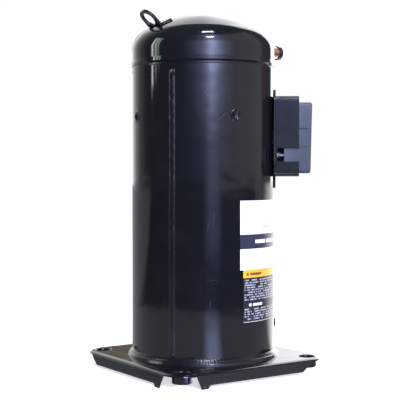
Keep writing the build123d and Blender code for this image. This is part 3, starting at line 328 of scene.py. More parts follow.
def winding(graph):
    """Enamelled copper wire laid round the end turns, with lacing over it."""
    place = graph.place()
    x, y, z = graph.split(place)
    angle = graph.math("ARCTAN2", y, x)
    wobble = graph.math("MULTIPLY", graph.noise(place, 60, 3.0), 2.5)
    strands = graph.math("SINE", graph.math("ADD", graph.math("MULTIPLY", z, 2 * pi / (1.2 * MM)), wobble))
    lace = graph.ramp(graph.math("SINE", graph.math("MULTIPLY", angle, 24)), 0.90, 0.97)
    # painted shade and highlight: the wire is darker in the grooves between strands and lighter on their
    # crests
    tone = graph.mix(graph.ramp(strands, -1, 1), (0.16, 0.045, 0.015), (0.52, 0.18, 0.07))
    tone = graph.mix(lace, tone, (0.62, 0.58, 0.48))
    height = graph.math("ADD", strands, graph.math("MULTIPLY", lace, 1.5))
    return {"Base Color": tone, "Roughness": graph.ramp(lace, 0, 1, 0.28, 0.8),
            "Normal": graph.bump(height, 0.0002), "Metallic": 0.3}


def braid(graph):
    """Braided glass sleeve of a motor lead."""
    place = graph.place()
    x, y, z = graph.split(place)
    one = graph.math("SINE", graph.math("MULTIPLY", graph.math("ADD", z, x), 2 * pi / (1.4 * MM)))
    two = graph.math("SINE", graph.math("MULTIPLY", graph.math("SUBTRACT", z, y), 2 * pi / (1.4 * MM)))
    weave = graph.math("MULTIPLY", one, two)
    # painted shade and highlight: the sleeve is darker where the weave dips and lighter where it rises
    tone = graph.mix(graph.ramp(weave, -1, 1), (0.48, 0.46, 0.40), (0.80, 0.78, 0.72))
    return {"Base Color": tone, "Roughness": graph.ramp(weave, -1, 1, 0.9, 0.7),
            "Normal": graph.bump(weave, 0.00008)}


# ---- labels: plain bars stand for whatever a real label says ----------------------------------
label_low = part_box("rating_label")[0]
notice_low, notice_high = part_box("notice_label")
RATING_ANGLES = (-94.8, -36.4)
NOTICE_ANGLES = (-92.0, -38.4)
FILM_WHITE = (0.90, 0.91, 0.93)
NAVY = (0.028, 0.030, 0.052)


def label_film(graph, tone, gloss=0.22):
    """Laminated film over print: fine ripples, and a little dust."""
    place = graph.place()
    ripples = graph.noise(place, 55, 2.0)
    dust = graph.ramp(graph.noise(place, 1400, 1.0), 0.66, 0.74)
    rough = graph.math("MULTIPLY_ADD", ripples, 0.10, gloss - 0.05)
    tone = graph.mix(graph.math("MULTIPLY", dust, 0.12), tone, (0.55, 0.55, 0.56))
    return {"Base Color": tone, "Roughness": rough, "Normal": graph.bump(ripples, 0.00012), "IOR": 1.45}


def bar(graph, across, up, left, right, low, high, soft=0.15):
    """A printed rectangle, in millimetres from the label's left and lower edges."""
    sides = graph.within(across, left * MM, right * MM, soft * MM)
    ends = graph.within(up, low * MM, high * MM, soft * MM)
    return graph.math("MULTIPLY", sides, ends)


def rows(graph, across, up, pitch, share, seed, fill=0.62):
    """Rows of short dashes, each row broken at different places."""
    row = graph.math("FLOOR", graph.math("MULTIPLY", up, 1 / (pitch * MM)))
    phase = graph.math("FRACT", graph.math("MULTIPLY", up, 1 / (pitch * MM)))
    line = graph.within(phase, 0.5 - share / 2, 0.5 + share / 2, 0.06)
    key = graph.add("ShaderNodeCombineXYZ", {0: graph.math("MULTIPLY", across, 1 / (1.1 * pitch * MM)),
                                             1: graph.math("MULTIPLY", row, 7.31), 2: seed}).outputs[0]
    broken = graph.ramp(graph.noise(key, 1.0, 1.0), fill - 0.16, fill - 0.10, 1.0, 0.0)
    return graph.math("MULTIPLY", line, broken)


def rating_print(graph):
    """White film: a pale tint below the top, a dark band with bars, and a faint table of lines."""
    around, z = graph.shell_coordinates()
    across = graph.math("SUBTRACT", around, radians(RATING_ANGLES[0]) * SHELL_R)
    up = graph.math("SUBTRACT", z, label_low.z)
    wide = radians(RATING_ANGLES[1] - RATING_ANGLES[0]) * SHELL_R / MM
    middle = wide / 2
    tinted = graph.within(up, 44 * MM, 65 * MM, 3 * MM)
    tone = graph.mix(graph.math("MULTIPLY", tinted, 0.55), FILM_WHITE, (0.72, 0.78, 0.90))
    # a plain lozenge and two bars on the tinted field
    sideways = graph.math("ABSOLUTE", graph.math("SUBTRACT", across, middle * MM))
    upwards = graph.math("ABSOLUTE", graph.math("SUBTRACT", up, 59 * MM))
    crest = graph.math("MULTIPLY_ADD", upwards, 0.5, sideways)
    mark = graph.ramp(crest, 1.2 * MM, 1.5 * MM, 1.0, 0.0)
    for left, right, low, high in ((-9.5, 9.5, 51.6, 53.6), (-10.5, 10.5, 47.0, 48.1)):
        mark = graph.math("MAXIMUM", mark, bar(graph, across, up, middle + left, middle + right, low, high))
    tone = graph.mix(graph.math("MULTIPLY", mark, 0.6), tone, (0.18, 0.20, 0.48))
    # the dark band, with light bars in it
    tone = graph.mix(graph.within(up, 25.8 * MM, 43.8 * MM, 0.15 * MM), tone, NAVY)
    bars = bar(graph, across, up, middle - 23, middle - 2, 32.4, 36.8)
    for left, right in ((0.5, 9.0), (11.0, 23.0)):
        bars = graph.math("MAXIMUM", bars, bar(graph, across, up, middle + left, middle + right, 32.4, 36.8))
    tone = graph.mix(bars, tone, (0.82, 0.83, 0.87))
    # the table: a frame, cell lines, and dashes in the cells
    table = bar(graph, across, up, middle - 34, middle + 34, 2.2, 18.6)
    inside = bar(graph, across, up, middle - 33.6, middle + 33.6, 2.6, 18.2)
    lines = graph.math("SUBTRACT", table, inside)
    cells = graph.math("FRACT", graph.math("MULTIPLY", across, 1 / (11.5 * MM)))
    shelf = graph.math("FRACT", graph.math("MULTIPLY", up, 1 / (5.4 * MM)))
    cell_lines = graph.math("MAXIMUM", graph.ramp(cells, 0.03, 0.05, 1.0, 0.0),
                            graph.ramp(shelf, 0.05, 0.09, 1.0, 0.0))
    lines = graph.math("MAXIMUM", lines, graph.math("MULTIPLY", cell_lines, table))
    dashes = rows(graph, across, up, 2.7, 0.34, 3.0, 0.56)
    field = bar(graph, across, up, middle - 32, middle + 32, 3.0, 24.4)
    small = graph.math("MULTIPLY", dashes, field)
    ink = graph.math("MAXIMUM", graph.math("MULTIPLY", lines, 0.35), graph.math("MULTIPLY", small, 0.55))
    tone = graph.mix(ink, tone, (0.16, 0.16, 0.20))
    return label_film(graph, tone)


def notice_print(graph):
    """Black film: an amber band on top, and rows of grey dashes in two blocks under it."""
    around, z = graph.shell_coordinates()
    across = graph.math("SUBTRACT", around, radians(NOTICE_ANGLES[0]) * SHELL_R)
    up = graph.math("SUBTRACT", z, notice_low.z)
    tall = (notice_high.z - notice_low.z) / MM
    wide = radians(NOTICE_ANGLES[1] - NOTICE_ANGLES[0]) * SHELL_R / MM
    dashes = rows(graph, across, up, 3.0, 0.52, 9.0, 0.66)
    upper = bar(graph, across, up, 2.0, wide - 2.0, 26.5, tall - 10.8)
    lower = bar(graph, across, up, 2.0, wide - 2.0, 2.4, 18.2)
    blocks = graph.math("MULTIPLY", dashes, graph.math("MAXIMUM", upper, lower))
    tone = graph.mix(graph.math("MULTIPLY", blocks, 0.85), (0.016, 0.017, 0.024), (0.42, 0.43, 0.50))
    # a heading row between the blocks: two plain light bars
    head = graph.math("MAXIMUM", bar(graph, across, up, 9.0, 13.0, 20.2, 23.6),
                      bar(graph, across, up, 15.5, 33.0, 20.2, 23.6))
    tone = graph.mix(head, tone, (0.66, 0.67, 0.72))
    edge = bar(graph, across, up, 0.6, wide - 0.6, 0.5, 1.3)
    tone = graph.mix(graph.math("MULTIPLY", edge, 0.8), tone, (0.60, 0.60, 0.64))
    amber = bar(graph, across, up, 0.0, wide, tall - 9.6, tall)
    tone = graph.mix(amber, tone, (0.93, 0.42, 0.035))
    bars = graph.math("MAXIMUM", bar(graph, across, up, 5.0, 8.4, tall - 7.0, tall - 3.4),
                      bar(graph, across, up, 10.4, 31.0, tall - 6.9, tall - 3.5))
    tone = graph.mix(graph.math("MULTIPLY", bars, 0.85), tone, (0.05, 0.03, 0.03))
    return label_film(graph, tone, 0.25)


MATERIALS = {
    "shell_paint": material("shell_paint", paint, marks=SCRATCHES),
    "weld_paint": material("weld_paint", weld_paint),
    "lug_paint": material("lug_paint", paint, gloss=0.16, rough_cast=0.00002),
    "base_paint": material("base_paint", base_paint),
    "stub_paint": material("stub_paint", paint, gloss=0.12),
    "box_paint": material("box_paint", paint, base=(0.0036, 0.0046, 0.0058), gloss=0.22, dust=0.5,
                          rough_cast=0.000008),
    "plug_steel": material("plug_steel", paint, base=(0.02, 0.021, 0.025), gloss=0.16),
    "cover_plastic": material("cover_plastic", moulded, base=(0.038, 0.047, 0.068), gloss=0.40),
    "stub_copper": material("stub_copper", metal, base=(0.86, 0.50, 0.36), gloss=0.28, grain=(0.05, 1, 1),
                            stain=(0.55, 0.25, 0.16), stain_share=0.6),
    "cap_rubber": material("cap_rubber", moulded_rubber, base=(0.010, 0.012, 0.028)),
    "terminal_steel": material("terminal_steel", metal, base=(0.60, 0.60, 0.58), gloss=0.26),
    "glass_seal": material("glass_seal", moulded, base=(0.03, 0.07, 0.08), gloss=0.10),
    "block_plastic": material("block_plastic", moulded, base=(0.020, 0.020, 0.021), gloss=0.40),
    "plug_plastic": material("plug_plastic", moulded, base=(0.66, 0.62, 0.50), gloss=0.42),
    "screw_brass": material("screw_brass", metal, base=(0.74, 0.56, 0.26), gloss=0.26),
    "screw_zinc": material("screw_zinc", metal, base=(0.62, 0.64, 0.64), gloss=0.24,
                           stain=(0.42, 0.44, 0.36)),
    "label_white": material("label_white", rating_print),
    "label_black": material("label_black", notice_print),
    "raw_steel": material("raw_steel", metal, base=(0.40, 0.40, 0.39), gloss=0.38,
                          stain=(0.20, 0.17, 0.15)),
    "machined_steel": material("machined_steel", metal, base=(0.60, 0.60, 0.59), gloss=0.22,
                               grain=(0.3, 0.3, 3)),
    "cast_grey": material("cast_grey", cast, base=(0.22, 0.22, 0.22)),
    "lamination_steel": material("lamination_steel", laminations),
    "ring_aluminium": material("ring_aluminium", metal, base=(0.72, 0.72, 0.73), gloss=0.34),
    "bearing_bronze": material("bearing_bronze", metal, base=(0.58, 0.40, 0.20), gloss=0.30),
    "winding_copper": material("winding_copper", winding),
    "lead_insulation": material("lead_insulation", braid),
    "magnet_ferrite": material("magnet_ferrite", moulded, base=(0.045, 0.045, 0.05), gloss=0.5),
}


def paint_cad_nodes():
    """Give every CAD node the finished material of its slot."""
    for entry in frame["record"]["subparts"]:
        node_object = frame["nodes"][entry["node"]]
        node_object.data.materials.clear()
        node_object.data.materials.append(MATERIALS[entry["material_slot"]])


# ================================================================================================
# Welds: meshes that take the place of the plain CAD beads
# ================================================================================================
def surface(name, body, slot, across, along, point, closed):
    """A smooth sheet of quads: point(u, v) gives each corner, u along its run and v across it, 0..1."""
    build = bmesh.new()
    grid = []
    for i in range(along if closed else along + 1):
        grid.append([build.verts.new(point(i / along, j / across)) for j in range(across + 1)])
    for i in range(along):
        near, far = grid[i], grid[(i + 1) % len(grid)]
        for j in range(across):
            build.faces.new((near[j], far[j], far[j + 1], near[j + 1]))
    bmesh.ops.recalc_face_normals(build, faces=build.faces)
    data = bpy.data.meshes.new(name)
    build.to_mesh(data)
    build.free()
    for face in data.polygons:
        face.use_smooth = True
    data.materials.append(MATERIALS[slot])
    made = bpy.data.objects.new(name, data)
    bpy.context.scene.collection.objects.link(made)
    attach(made, body)
    return made


def on_shell(angle, rise, z):
    """A point that stands proud of the shell; angle in radians, lengths in metres."""
    return Vector(((SHELL_R + rise) * cos(angle), (SHELL_R + rise) * sin(angle), z))


def ripple(run, bow, pitch):
    """0..1, crescent ripples of a weld: run is the way along it, bow bends each ripple's ends back."""
    phase = run / pitch + 0.75 * bow * bow
    wander = 0.35 * noise.noise(Vector((run * 90, bow, 3.7)))
    return abs(sin(pi * (phase + wander))) ** 0.7


def cap_radius(z):
    """Radius of the top cap's wall at a height, in metres."""
    rise = max(0.0, z - CAP_KNUCKLE_Z)
    return SHELL_R - CAP_KNUCKLE_R + sqrt(CAP_KNUCKLE_R ** 2 - rise ** 2)


CAP_KNUCKLE_R = 30 * MM
CAP_CROWN_R = 155 * MM
CAP_KNUCKLE_Z = CAP_APEX - CAP_CROWN_R + sqrt((CAP_CROWN_R - CAP_KNUCKLE_R) ** 2
                                              - (SHELL_R - CAP_KNUCKLE_R) ** 2)


TOP_WELD_LOW = -124.0       # where the weld lies deepest in its groove, degrees from +X
TOP_WELD_ABOVE = 2.9 * MM   # how far it reaches above the tube
TOP_WELD_CREST = 0.82       # share of its height where it meets the lip


def top_weld():
    """The weld that closes the groove under the top cap's lip."""
    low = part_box("top_weld_bead")[0].z
    high = SHELL_TOP + TOP_WELD_ABOVE

    def point(u, v):
        angle = 2 * pi * u
        run = angle * SHELL_R
        swell = 0.85 + 0.3 * noise.noise(Vector((4 * cos(angle), 4 * sin(angle), 1.3)))
        proud = 0.5 - 0.5 * cos(angle - radians(TOP_WELD_LOW))
        arch = max(0.0, sin(pi * min(1.0, v * 1.22)))
        rise = (1.15 * proud * swell * arch ** 0.75 - 0.55 * (1 - proud) * sin(pi * v)) * MM
        rise -= 0.3 * MM * max(0.0, v - TOP_WELD_CREST) / (1 - TOP_WELD_CREST)
        rise += 0.20 * MM * (ripple(run, 2 * v - 1, 3.4 * MM) - 0.5) * sin(pi * v)
        edge = 0.5 * MM * noise.noise(Vector((run * 60, 0.2, 8.1))) * (1 - v)
        return on_shell(angle, rise - 0.1 * MM, low + (high - low) * v + edge + 0.4 * MM * (1 - v))

    bead = surface("top_weld", "housing", "weld_paint", 14, 1500, point, True)
    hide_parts("top_weld_bead")


def base_weld():
    """Two passes of weld, one over the other, in the corner between the shell and the plate."""
    low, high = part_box("base_weld_bead")
    reach = high.x - SHELL_R

    def point(u, v):
        angle = 2 * pi * u
        run = angle * SHELL_R
        swell = 1 + 0.22 * noise.noise(Vector((5 * cos(angle), 5 * sin(angle), 5.9)))
        lobes = (0.75 * sin(pi * min(1.0, v / 0.56)) + 1.05 * sin(pi * max(0.0, (v - 0.44) / 0.56)))
        out = 0.62 * MM * lobes * swell + 0.16 * MM * (ripple(run, 2 * v - 1, 4.1 * MM) - 0.5) * sin(pi * v)
        toe = 0.5 * MM * noise.noise(Vector((run * 45, v * 2, 2.2)))
        straight = v + 0.10 * sin(2 * pi * v)
        radius = straight * reach + 0.72 * out + toe * v
        height = (1 - straight) * (high.z - low.z) + 0.55 * out + toe * (1 - v)
        return on_shell(angle, radius - 0.1 * MM, low.z - 0.05 * MM + height)

    bead = surface("base_weld", "housing", "weld_paint", 20, 1300, point, True)
    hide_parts("base_weld_bead")


SEAM_ANGLE = -148.9
SEAM_HALF = 4.3 * MM


def seam_weld():
    """The tube's lengthwise seam: two thin raised lines with a flat between, and a blob at each end."""
    low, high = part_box("shell_seam_weld")
    high.z += 1.8 * MM          # it runs in under the weld above it
    length = high.z - low.z

    def point(u, v):
        z = low.z + length * u
        side = (2 * v - 1) * SEAM_HALF
        wander = 0.30 * MM * noise.noise(Vector((z * 22, 0.4, 0.0)))
        sharp = 1 + 0.45 * noise.noise(Vector((z * 130, 1.9, 0.0)))
        right = 1.25 * MM * sharp * exp(-((side - 2.6 * MM - wander) / (0.85 * MM)) ** 2)
        left = 0.46 * MM * (2 - sharp) * exp(-((side + 3.1 * MM - wander) / (0.60 * MM)) ** 2)
        flat = 0.12 * MM * (1 - abs(2 * v - 1) ** 6)
        ends = 0.0
        for reach, size in ((z - low.z, 5.0 * MM), (high.z - z, 6.5 * MM)):
            spread = (side - 1.5 * MM) / (2.6 * MM)
            ends += 1.3 * MM * exp(-((reach - 0.5 * size) / (0.5 * size)) ** 2 - spread * spread)
        rise = max(right, left) + flat + ends - 0.06 * MM
        return on_shell(radians(SEAM_ANGLE) + side / SHELL_R, rise, z)

    bead = surface("seam_weld", "housing", "weld_paint", 42, 420, point, False)
    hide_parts("shell_seam_weld")


PLUG_WELDS = (-98.8, -8.8, 81.2, 171.2)
PLUG_WELD_Z = 323 * MM
PLUG_WELD_R = 7.0 * MM


def plug_welds():
    """Four round welds: a rough rim, and a middle that has sunk in."""
    made = []
    for number, middle in enumerate(PLUG_WELDS):
        def point(u, v):
            turn = 2 * pi * u
            uneven = noise.noise(Vector((1.6 * cos(turn), 1.6 * sin(turn), 2.0 * number)))
            out = v * (PLUG_WELD_R + 0.9 * MM + 0.5 * MM * uneven)
            rim = 0.9 * MM * exp(-((out - 6.2 * MM) / (1.1 * MM)) ** 2) * (1 + 0.6 * uneven)
            bowl = -2.3 * MM * max(0.0, 1 - (out / (5.6 * MM)) ** 2) ** 1.2
            curl = 0.45 * MM * sin(turn * 2 + out / MM * 1.3) * (1 - v)
            skirt = -0.25 * MM * max(0.0, v - 0.85) / 0.15
            angle = radians(middle) + out * cos(turn) / SHELL_R
            return on_shell(angle, rim + bowl + curl + skirt, PLUG_WELD_Z + out * sin(turn))
        made.append(surface("plug_weld_%d" % (number + 1), "housing", "weld_paint", 16, 48, point, True))
    for piece in made:
        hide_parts("plug_welds")


def bead_along(name, body, slot, path, size, closed=False):
    """A rounded bead about a path of points, with ripples along it."""
    count = len(path)
    steps = [(path[(i + 1) % count] - path[i]).length for i in range(count)]

    def point(u, v):
        place = u * (count if closed else count - 1)
        index = min(int(place), count - 1 if closed else count - 2)
        share = place - index
        here, there = path[index % count], path[(index + 1) % count]
        before = path[(index - 1) % count] if closed or index else here
        after = path[(index + 2) % count] if closed or index + 2 < count else there
        middle = here.lerp(there, share)
        way = (there - before).lerp(after - here, share).normalized()
        side = way.cross(Vector((0, 0, 1))) if abs(way.z) < 0.9 else way.cross(Vector((1, 0, 0)))
        side.normalize()
        up = side.cross(way)
        run = sum(steps[:index]) + steps[index] * share
        ends = 1.0 if closed else min(1.0, 8 * u, 8 * (1 - u)) ** 0.5
        radius = size * (0.9 + 0.22 * (ripple(run, 0.0, 2.6 * MM) - 0.5)) * max(0.05, ends)
        turn = 2 * pi * v
        return middle + (side * cos(turn) + up * sin(turn)) * radius

    return surface(name, body, slot, 12, max(24, int(sum(steps) / (0.5 * MM))), point, closed)


def small_beads():
    """Beads round the lug's tab and where each stub enters the can."""
    lug_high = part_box("lifting_lug")[1]
    crown_z = CAP_APEX - CAP_CROWN_R

    def on_dome(x, y):
        return Vector((x, y, crown_z + sqrt(CAP_CROWN_R ** 2 - x * x - y * y) + 0.3 * MM))

    half = lug_high.y + 0.5 * MM
    inner, outer = lug_high.x + 0.4 * MM, lug_high.x - 15 * MM
    for name, side in (("lug_bead_left", -half), ("lug_bead_right", half)):
        path = [on_dome(outer + (inner - outer) * i / 10, side) for i in range(11)]
        bead_along(name, "housing", "weld_paint", path, 1.7 * MM)
    path = [on_dome(inner, -half + 2 * half * i / 12) for i in range(13)]
    bead_along("lug_bead_end", "housing", "weld_paint", path, 1.5 * MM)

    low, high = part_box("discharge_stub")
    height, ring = (low.z + high.z) / 2, (high.z - low.z) / 2 + 0.5 * MM
    path = []
    for i in range(36):
        y, z = ring * cos(2 * pi * i / 36), height + ring * sin(2 * pi * i / 36)
        path.append(Vector((sqrt(cap_radius(z) ** 2 - y * y) + 0.3 * MM, y, z)))
    bead_along("discharge_braze", "housing", "stub_copper", path, 1.5 * MM, True)

    low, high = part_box("suction_stub")
    height, ring = (low.z + high.z) / 2, (high.z - low.z) / 2 + 0.3 * MM
    path = []
    for i in range(48):
        x, z = ring * cos(2 * pi * i / 48), height + ring * sin(2 * pi * i / 48)
        path.append(Vector((x, sqrt(SHELL_R ** 2 - x * x) + 0.2 * MM, z)))
    bead_along("suction_weld", "housing", "weld_paint", path, 1.9 * MM, True)


# ---- the terminal box: a folded lip against the shell, and the cover's ribs --------------------
BOX_ANGLE = -39.0
BOX_OUT = Vector((cos(radians(BOX_ANGLE)), sin(radians(BOX_ANGLE)), 0))
BOX_SIDE = Vector((-cos(radians(BOX_ANGLE + 90)), -sin(radians(BOX_ANGLE + 90)), 0))


LIP_R, LIP_BACK, LIP_IN, LIP_SHORT = 2.4 * MM, 1.2 * MM, 1.0 * MM, 12 * MM
RIB_R, RIB_SINK, RIB_START, RIB_SHORT = 0.9 * MM, 0.35 * MM, 3 * MM, 7 * MM
RIB_PLACES = (0.36, 0.62)   # shares of the cover's height, from its top


def span_along(node, way):
    """The node's least and greatest distance along a direction."""
    spread = [vertex.co.dot(way) for vertex in frame["nodes"][node].data.vertices]
    return min(spread), max(spread)


def box_details():
    """Thin rounded lips: where the fence meets the can, and the ribs on the cover's sides."""
    low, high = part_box("terminal_fence")
    inner = span_along("terminal_fence", BOX_OUT)[0]
    left, right = span_along("terminal_fence", BOX_SIDE)
    foot, tall = low.z + LIP_SHORT, high.z - low.z - 2 * LIP_SHORT
    for name, side in (("fence_lip_near", right - LIP_IN), ("fence_lip_far", left + LIP_IN)):
        at = BOX_OUT * (inner - LIP_BACK) + BOX_SIDE * side
        path = [at + Vector((0, 0, foot + tall * i / 12)) for i in range(13)]
        bead_along(name, "housing", "box_paint", path, LIP_R)

    low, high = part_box("terminal_cover")
    start, end = span_along("terminal_cover", BOX_OUT)
    left, right = span_along("terminal_cover", BOX_SIDE)
    for name, side in (("near", right - RIB_SINK), ("far", left + RIB_SINK)):
        for number, share in enumerate(RIB_PLACES):
            at = BOX_SIDE * side + Vector((0, 0, low.z + (high.z - low.z) * (1 - share)))
            path = [at + BOX_OUT * (start + RIB_START + (end - start - RIB_SHORT) * i / 10)
                    for i in range(11)]
            bead_along("cover_rib_%s_%d" % (name, number + 1), "cover", "cover_plastic", path, RIB_R)


# ================================================================================================
# Scene: camera, surroundings, lights and floor
# ================================================================================================
def make_camera():
    data = bpy.data.cameras.new("camera")
    data.sensor_width = 36.0
    data.lens = CAMERA_LENS
    data.clip_start, data.clip_end = 0.05, 60.0
    camera = bpy.data.objects.new("camera", data)
    bpy.context.scene.collection.objects.link(camera)
    turn = radians(CAMERA_AZIMUTH)
    camera.location = (sin(turn) * CAMERA_DISTANCE, -cos(turn) * CAMERA_DISTANCE, CAMERA_HEIGHT)
    camera.rotation_euler = Euler((radians(90 + CAMERA_PITCH), 0, radians(CAMERA_AZIMUTH + CAMERA_YAW)))
    bpy.context.scene.camera = camera


def beside_camera(angle):
    """Unit vector from the object, this many degrees to the camera's right."""
    turn = radians(CAMERA_AZIMUTH + angle)
    return Vector((sin(turn), -cos(turn), 0))


# brightness of the room by direction: degrees to the camera's right, then red, green, blue
ROOM = (
    (-180, 1.50, 1.50, 1.52),
    (-160, 1.75, 1.75, 1.75),
    (-154, 1.70, 1.70, 1.70),
    (-141, 1.10, 1.10, 1.11),
    (-128, 0.63, 0.63, 0.65),
    (-117, 0.38, 0.38, 0.40),
    (-105, 0.16, 0.16, 0.18),
    (-96, 0.10, 0.105, 0.12),
    (-50, 0.08, 0.09, 0.12),
    (-4, 0.12, 0.14, 0.20),
    (34, 0.55, 0.57, 0.66),
    (60, 0.72, 0.72, 0.77),
    (104, 0.66, 0.64, 0.66),
    (111, 0.22, 0.18, 0.20),
    (113, 0.60, 0.14, 0.14),
    (116, 0.18, 0.16, 0.19),
    (138, 0.10, 0.10, 0.11),
    (142, 4.80, 4.75, 4.70),
    (164, 4.00, 3.95, 3.95),
    (170, 2.60, 2.58, 2.62),
    (176, 2.20, 2.18, 2.24),
    (180, 1.50, 1.50, 1.52),
)
# a dark opening low on the far left, seen in the base plate: degrees round, and degrees up
DARK_OPENING = ((-179.0, -165.0), (6.5, 14.5))
DARK_BROWN = (0.16, 0.14, 0.085)
# the daylight band on the camera's right: degrees, share
DAYLIGHT = ((-32, 0.0), (-16, 0.06), (-3, 0.20), (3, 0.38), (7, 0.60), (10, 0.86), (13, 1.0), (16, 0.94),
            (19.5, 0.76), (23, 0.54), (29, 0.29), (36, 0.12), (50, 0.0))
DAYLIGHT_LOW, DAYLIGHT_RISE, DAYLIGHT_FULL = 0.30, 3.1, 6.8     # shares, and degrees up to its full share
DAYLIGHT_FADE = (16, 30, 0.45)      # it fades between these degrees, to this share
WALL_TOP = (48, 58)                 # degrees up at which the walls end
DAYLIGHT_COLOUR = (2.0, 2.25, 3.9)
ROOM_SCALE = 4.0            # the ramps hold brightness divided by this
ROOM_DIM = (0.10, 0.11, 0.14)      # above the walls


def direction_ramp(graph, turn, stops):
    """A colour for each direction; the stops hold degrees to the camera's right and a colour."""
    ramp = graph.add("ShaderNodeValToRGB", {0: turn})
    ramp.color_ramp.interpolation = "LINEAR"
    elements = ramp.color_ramp.elements
    while len(elements) > 1:
        elements.remove(elements[-1])
    for index, (angle, *tone) in enumerate(stops):
        place = (angle + 180) / 360
        element = elements[0] if index == 0 else elements.new(place)
        element.position = place
        element.color = (*[value / ROOM_SCALE for value in tone], 1)
    return ramp.outputs[0]


def make_surroundings():
    """White to the camera; to the paint, a pale room that is dark in front and light behind."""
    world = bpy.data.worlds.new("studio")
    bpy.context.scene.world = world
    world.use_nodes = True
    graph = Graph(world.node_tree)
    way = graph.add("ShaderNodeTexCoord").outputs["Generated"]
    x, y, z = graph.split(way)
    # how far the direction lies to the camera's right, as a share of a turn from 0 to 1
    ahead = beside_camera(0)
    right = beside_camera(90)
    along = graph.math("ADD", graph.math("MULTIPLY", x, ahead.x), graph.math("MULTIPLY", y, ahead.y))
    across = graph.math("ADD", graph.math("MULTIPLY", x, right.x), graph.math("MULTIPLY", y, right.y))
    turn = graph.math("MULTIPLY_ADD", graph.math("ARCTAN2", across, along), 1 / (2 * pi), 0.5)
    walls = direction_ramp(graph, turn, ROOM)
    window = direction_ramp(graph, turn, [(angle, *(share * c for c in DAYLIGHT_COLOUR))
                                          for angle, share in DAYLIGHT])
    fade_from, fade_to, faded = DAYLIGHT_FADE
    up = graph.math("MULTIPLY", z, 1 / sin(radians(DAYLIGHT_FULL)), clamp=True)
    up = graph.math("MULTIPLY_ADD", graph.math("MULTIPLY", up, up), DAYLIGHT_RISE, DAYLIGHT_LOW)
    up = graph.math("MULTIPLY", up, graph.ramp(z, sin(radians(fade_from)), sin(radians(fade_to)), 1.0, faded))
    window = graph.stretch(window, up)
    lit = graph.add("ShaderNodeMix", data_type="RGBA", blend_type="ADD")
    graph.tree.links.new(walls, lit.inputs[6])
    graph.tree.links.new(window, lit.inputs[7])
    lit.inputs[0].default_value = 1.0
    top = graph.ramp(z, *[sin(radians(angle)) for angle in WALL_TOP])
    dim = tuple(value / ROOM_SCALE for value in ROOM_DIM)
    tone = graph.mix(top, lit.outputs[2], dim)
    (first, last), (low, high) = DARK_OPENING
    opening = graph.math("MULTIPLY",
                         graph.within(turn, (first + 180) / 360, (last + 180) / 360, 0.6 / 360),
                         graph.within(z, sin(radians(low)), sin(radians(high)), 0.006))
    tone = graph.mix(opening, tone, tuple(value / ROOM_SCALE for value in DARK_BROWN))
    seen = graph.add("ShaderNodeLightPath").outputs["Is Camera Ray"]
    room = graph.add("ShaderNodeBackground", {0: tone, 1: ROOM_SCALE})
    white = graph.add("ShaderNodeBackground", {0: colour(1, 1, 1), 1: 1.0})
    both = graph.add("ShaderNodeMixShader", {0: seen, 1: room.outputs[0], 2: white.outputs[0]})
    graph.add("ShaderNodeOutputWorld", {"Surface": both.outputs[0]})


def softbox(name, angle, distance, elevation, width, height, power, tone):
    """A rectangular lamp that faces the middle of the object."""
    data = bpy.data.lights.new(name, "AREA")
    data.shape = "RECTANGLE"
    data.size, data.size_y = width, height
    data.energy = power
    data.color = tone
    lamp = bpy.data.objects.new(name, data)
    bpy.context.scene.collection.objects.link(lamp)
    aim = Vector((0, 0, OBJECT_TOP / 2))
    rise = radians(elevation)
    lamp.location = aim + beside_camera(angle) * distance * cos(rise) + Vector((0, 0, distance * sin(rise)))
    lamp.rotation_euler = (lamp.location - aim).to_track_quat("Z", "Y").to_euler()
    lamp.visible_camera = False
    return lamp


def strip(name, angle, low, high, width, radiance, tone):
    """An upright window strip, seen in the paint from low to high degrees above the horizon."""
    bottom, top = SHELL_TOP + STRIP_AWAY * tan(radians(low)), SHELL_TOP + STRIP_AWAY * tan(radians(high))
    data = bpy.data.lights.new(name, "AREA")
    data.shape = "RECTANGLE"
    data.size, data.size_y = STRIP_AWAY * radians(width), top - bottom
    data.energy = radiance * pi * data.size * data.size_y
    data.color = tone
    lamp = bpy.data.objects.new(name, data)
    bpy.context.scene.collection.objects.link(lamp)
    lamp.location = beside_camera(angle) * STRIP_AWAY + Vector((0, 0, (bottom + top) / 2))
    lamp.rotation_euler = beside_camera(angle).to_track_quat("Z", "Y").to_euler()
    lamp.visible_camera = False


# name, degrees to the camera's right, metres away, degrees up, width, height, watts, colour
SOFTBOXES = (
    ("ceiling_far", 12, 2.4, 68, 0.50, 0.16, 16, (0.86, 0.89, 1.0)),
    ("ceiling_near", 12, 2.4, 42, 0.42, 0.12, 12, (0.88, 0.90, 1.0)),
)
# narrow windows on the left: name, degrees to the camera's right, lowest and highest degrees up, width in
# degrees, radiance, colour
STRIPS = (
    ("strip_a", -86.6, 5.9, 33, 3.8, 8.4, (0.90, 1.0, 1.0)),
    ("strip_a_low", -86.6, 3.9, 5.9, 3.6, 9.6, (0.90, 1.0, 1.0)),
    ("strip_b", -79.8, 6.1, 33, 4.0, 6.2, (0.86, 1.0, 0.90)),
    ("strip_b_low", -79.8, 4.5, 6.1, 3.6, 1.6, (0.86, 1.0, 0.90)),
    ("strip_c", -74.4, 6.1, 33, 2.4, 5.0, (0.84, 1.0, 0.86)),
)
STRIP_AWAY = 2.6            # metres from the axis


def make_lights():
    for lamp in SOFTBOXES:
        softbox(*lamp)
    for lamp in STRIPS:
        strip(*lamp)
    # soft fill on the labels; the gloss doesn't show it
    fill = softbox("fill", 20, 2.2, 22, 1.3, 1.3, 44, (1.0, 1.0, 1.0))
    fill.visible_glossy = False


FLOOR_SIZE = 30.0
LIT_POOL_RADIUS = 0.68         # radius of the painted pool of light on the floor near the object, which the paint reflects
LIT_POOL_SHIFT = -0.04         # its middle, to the camera's right
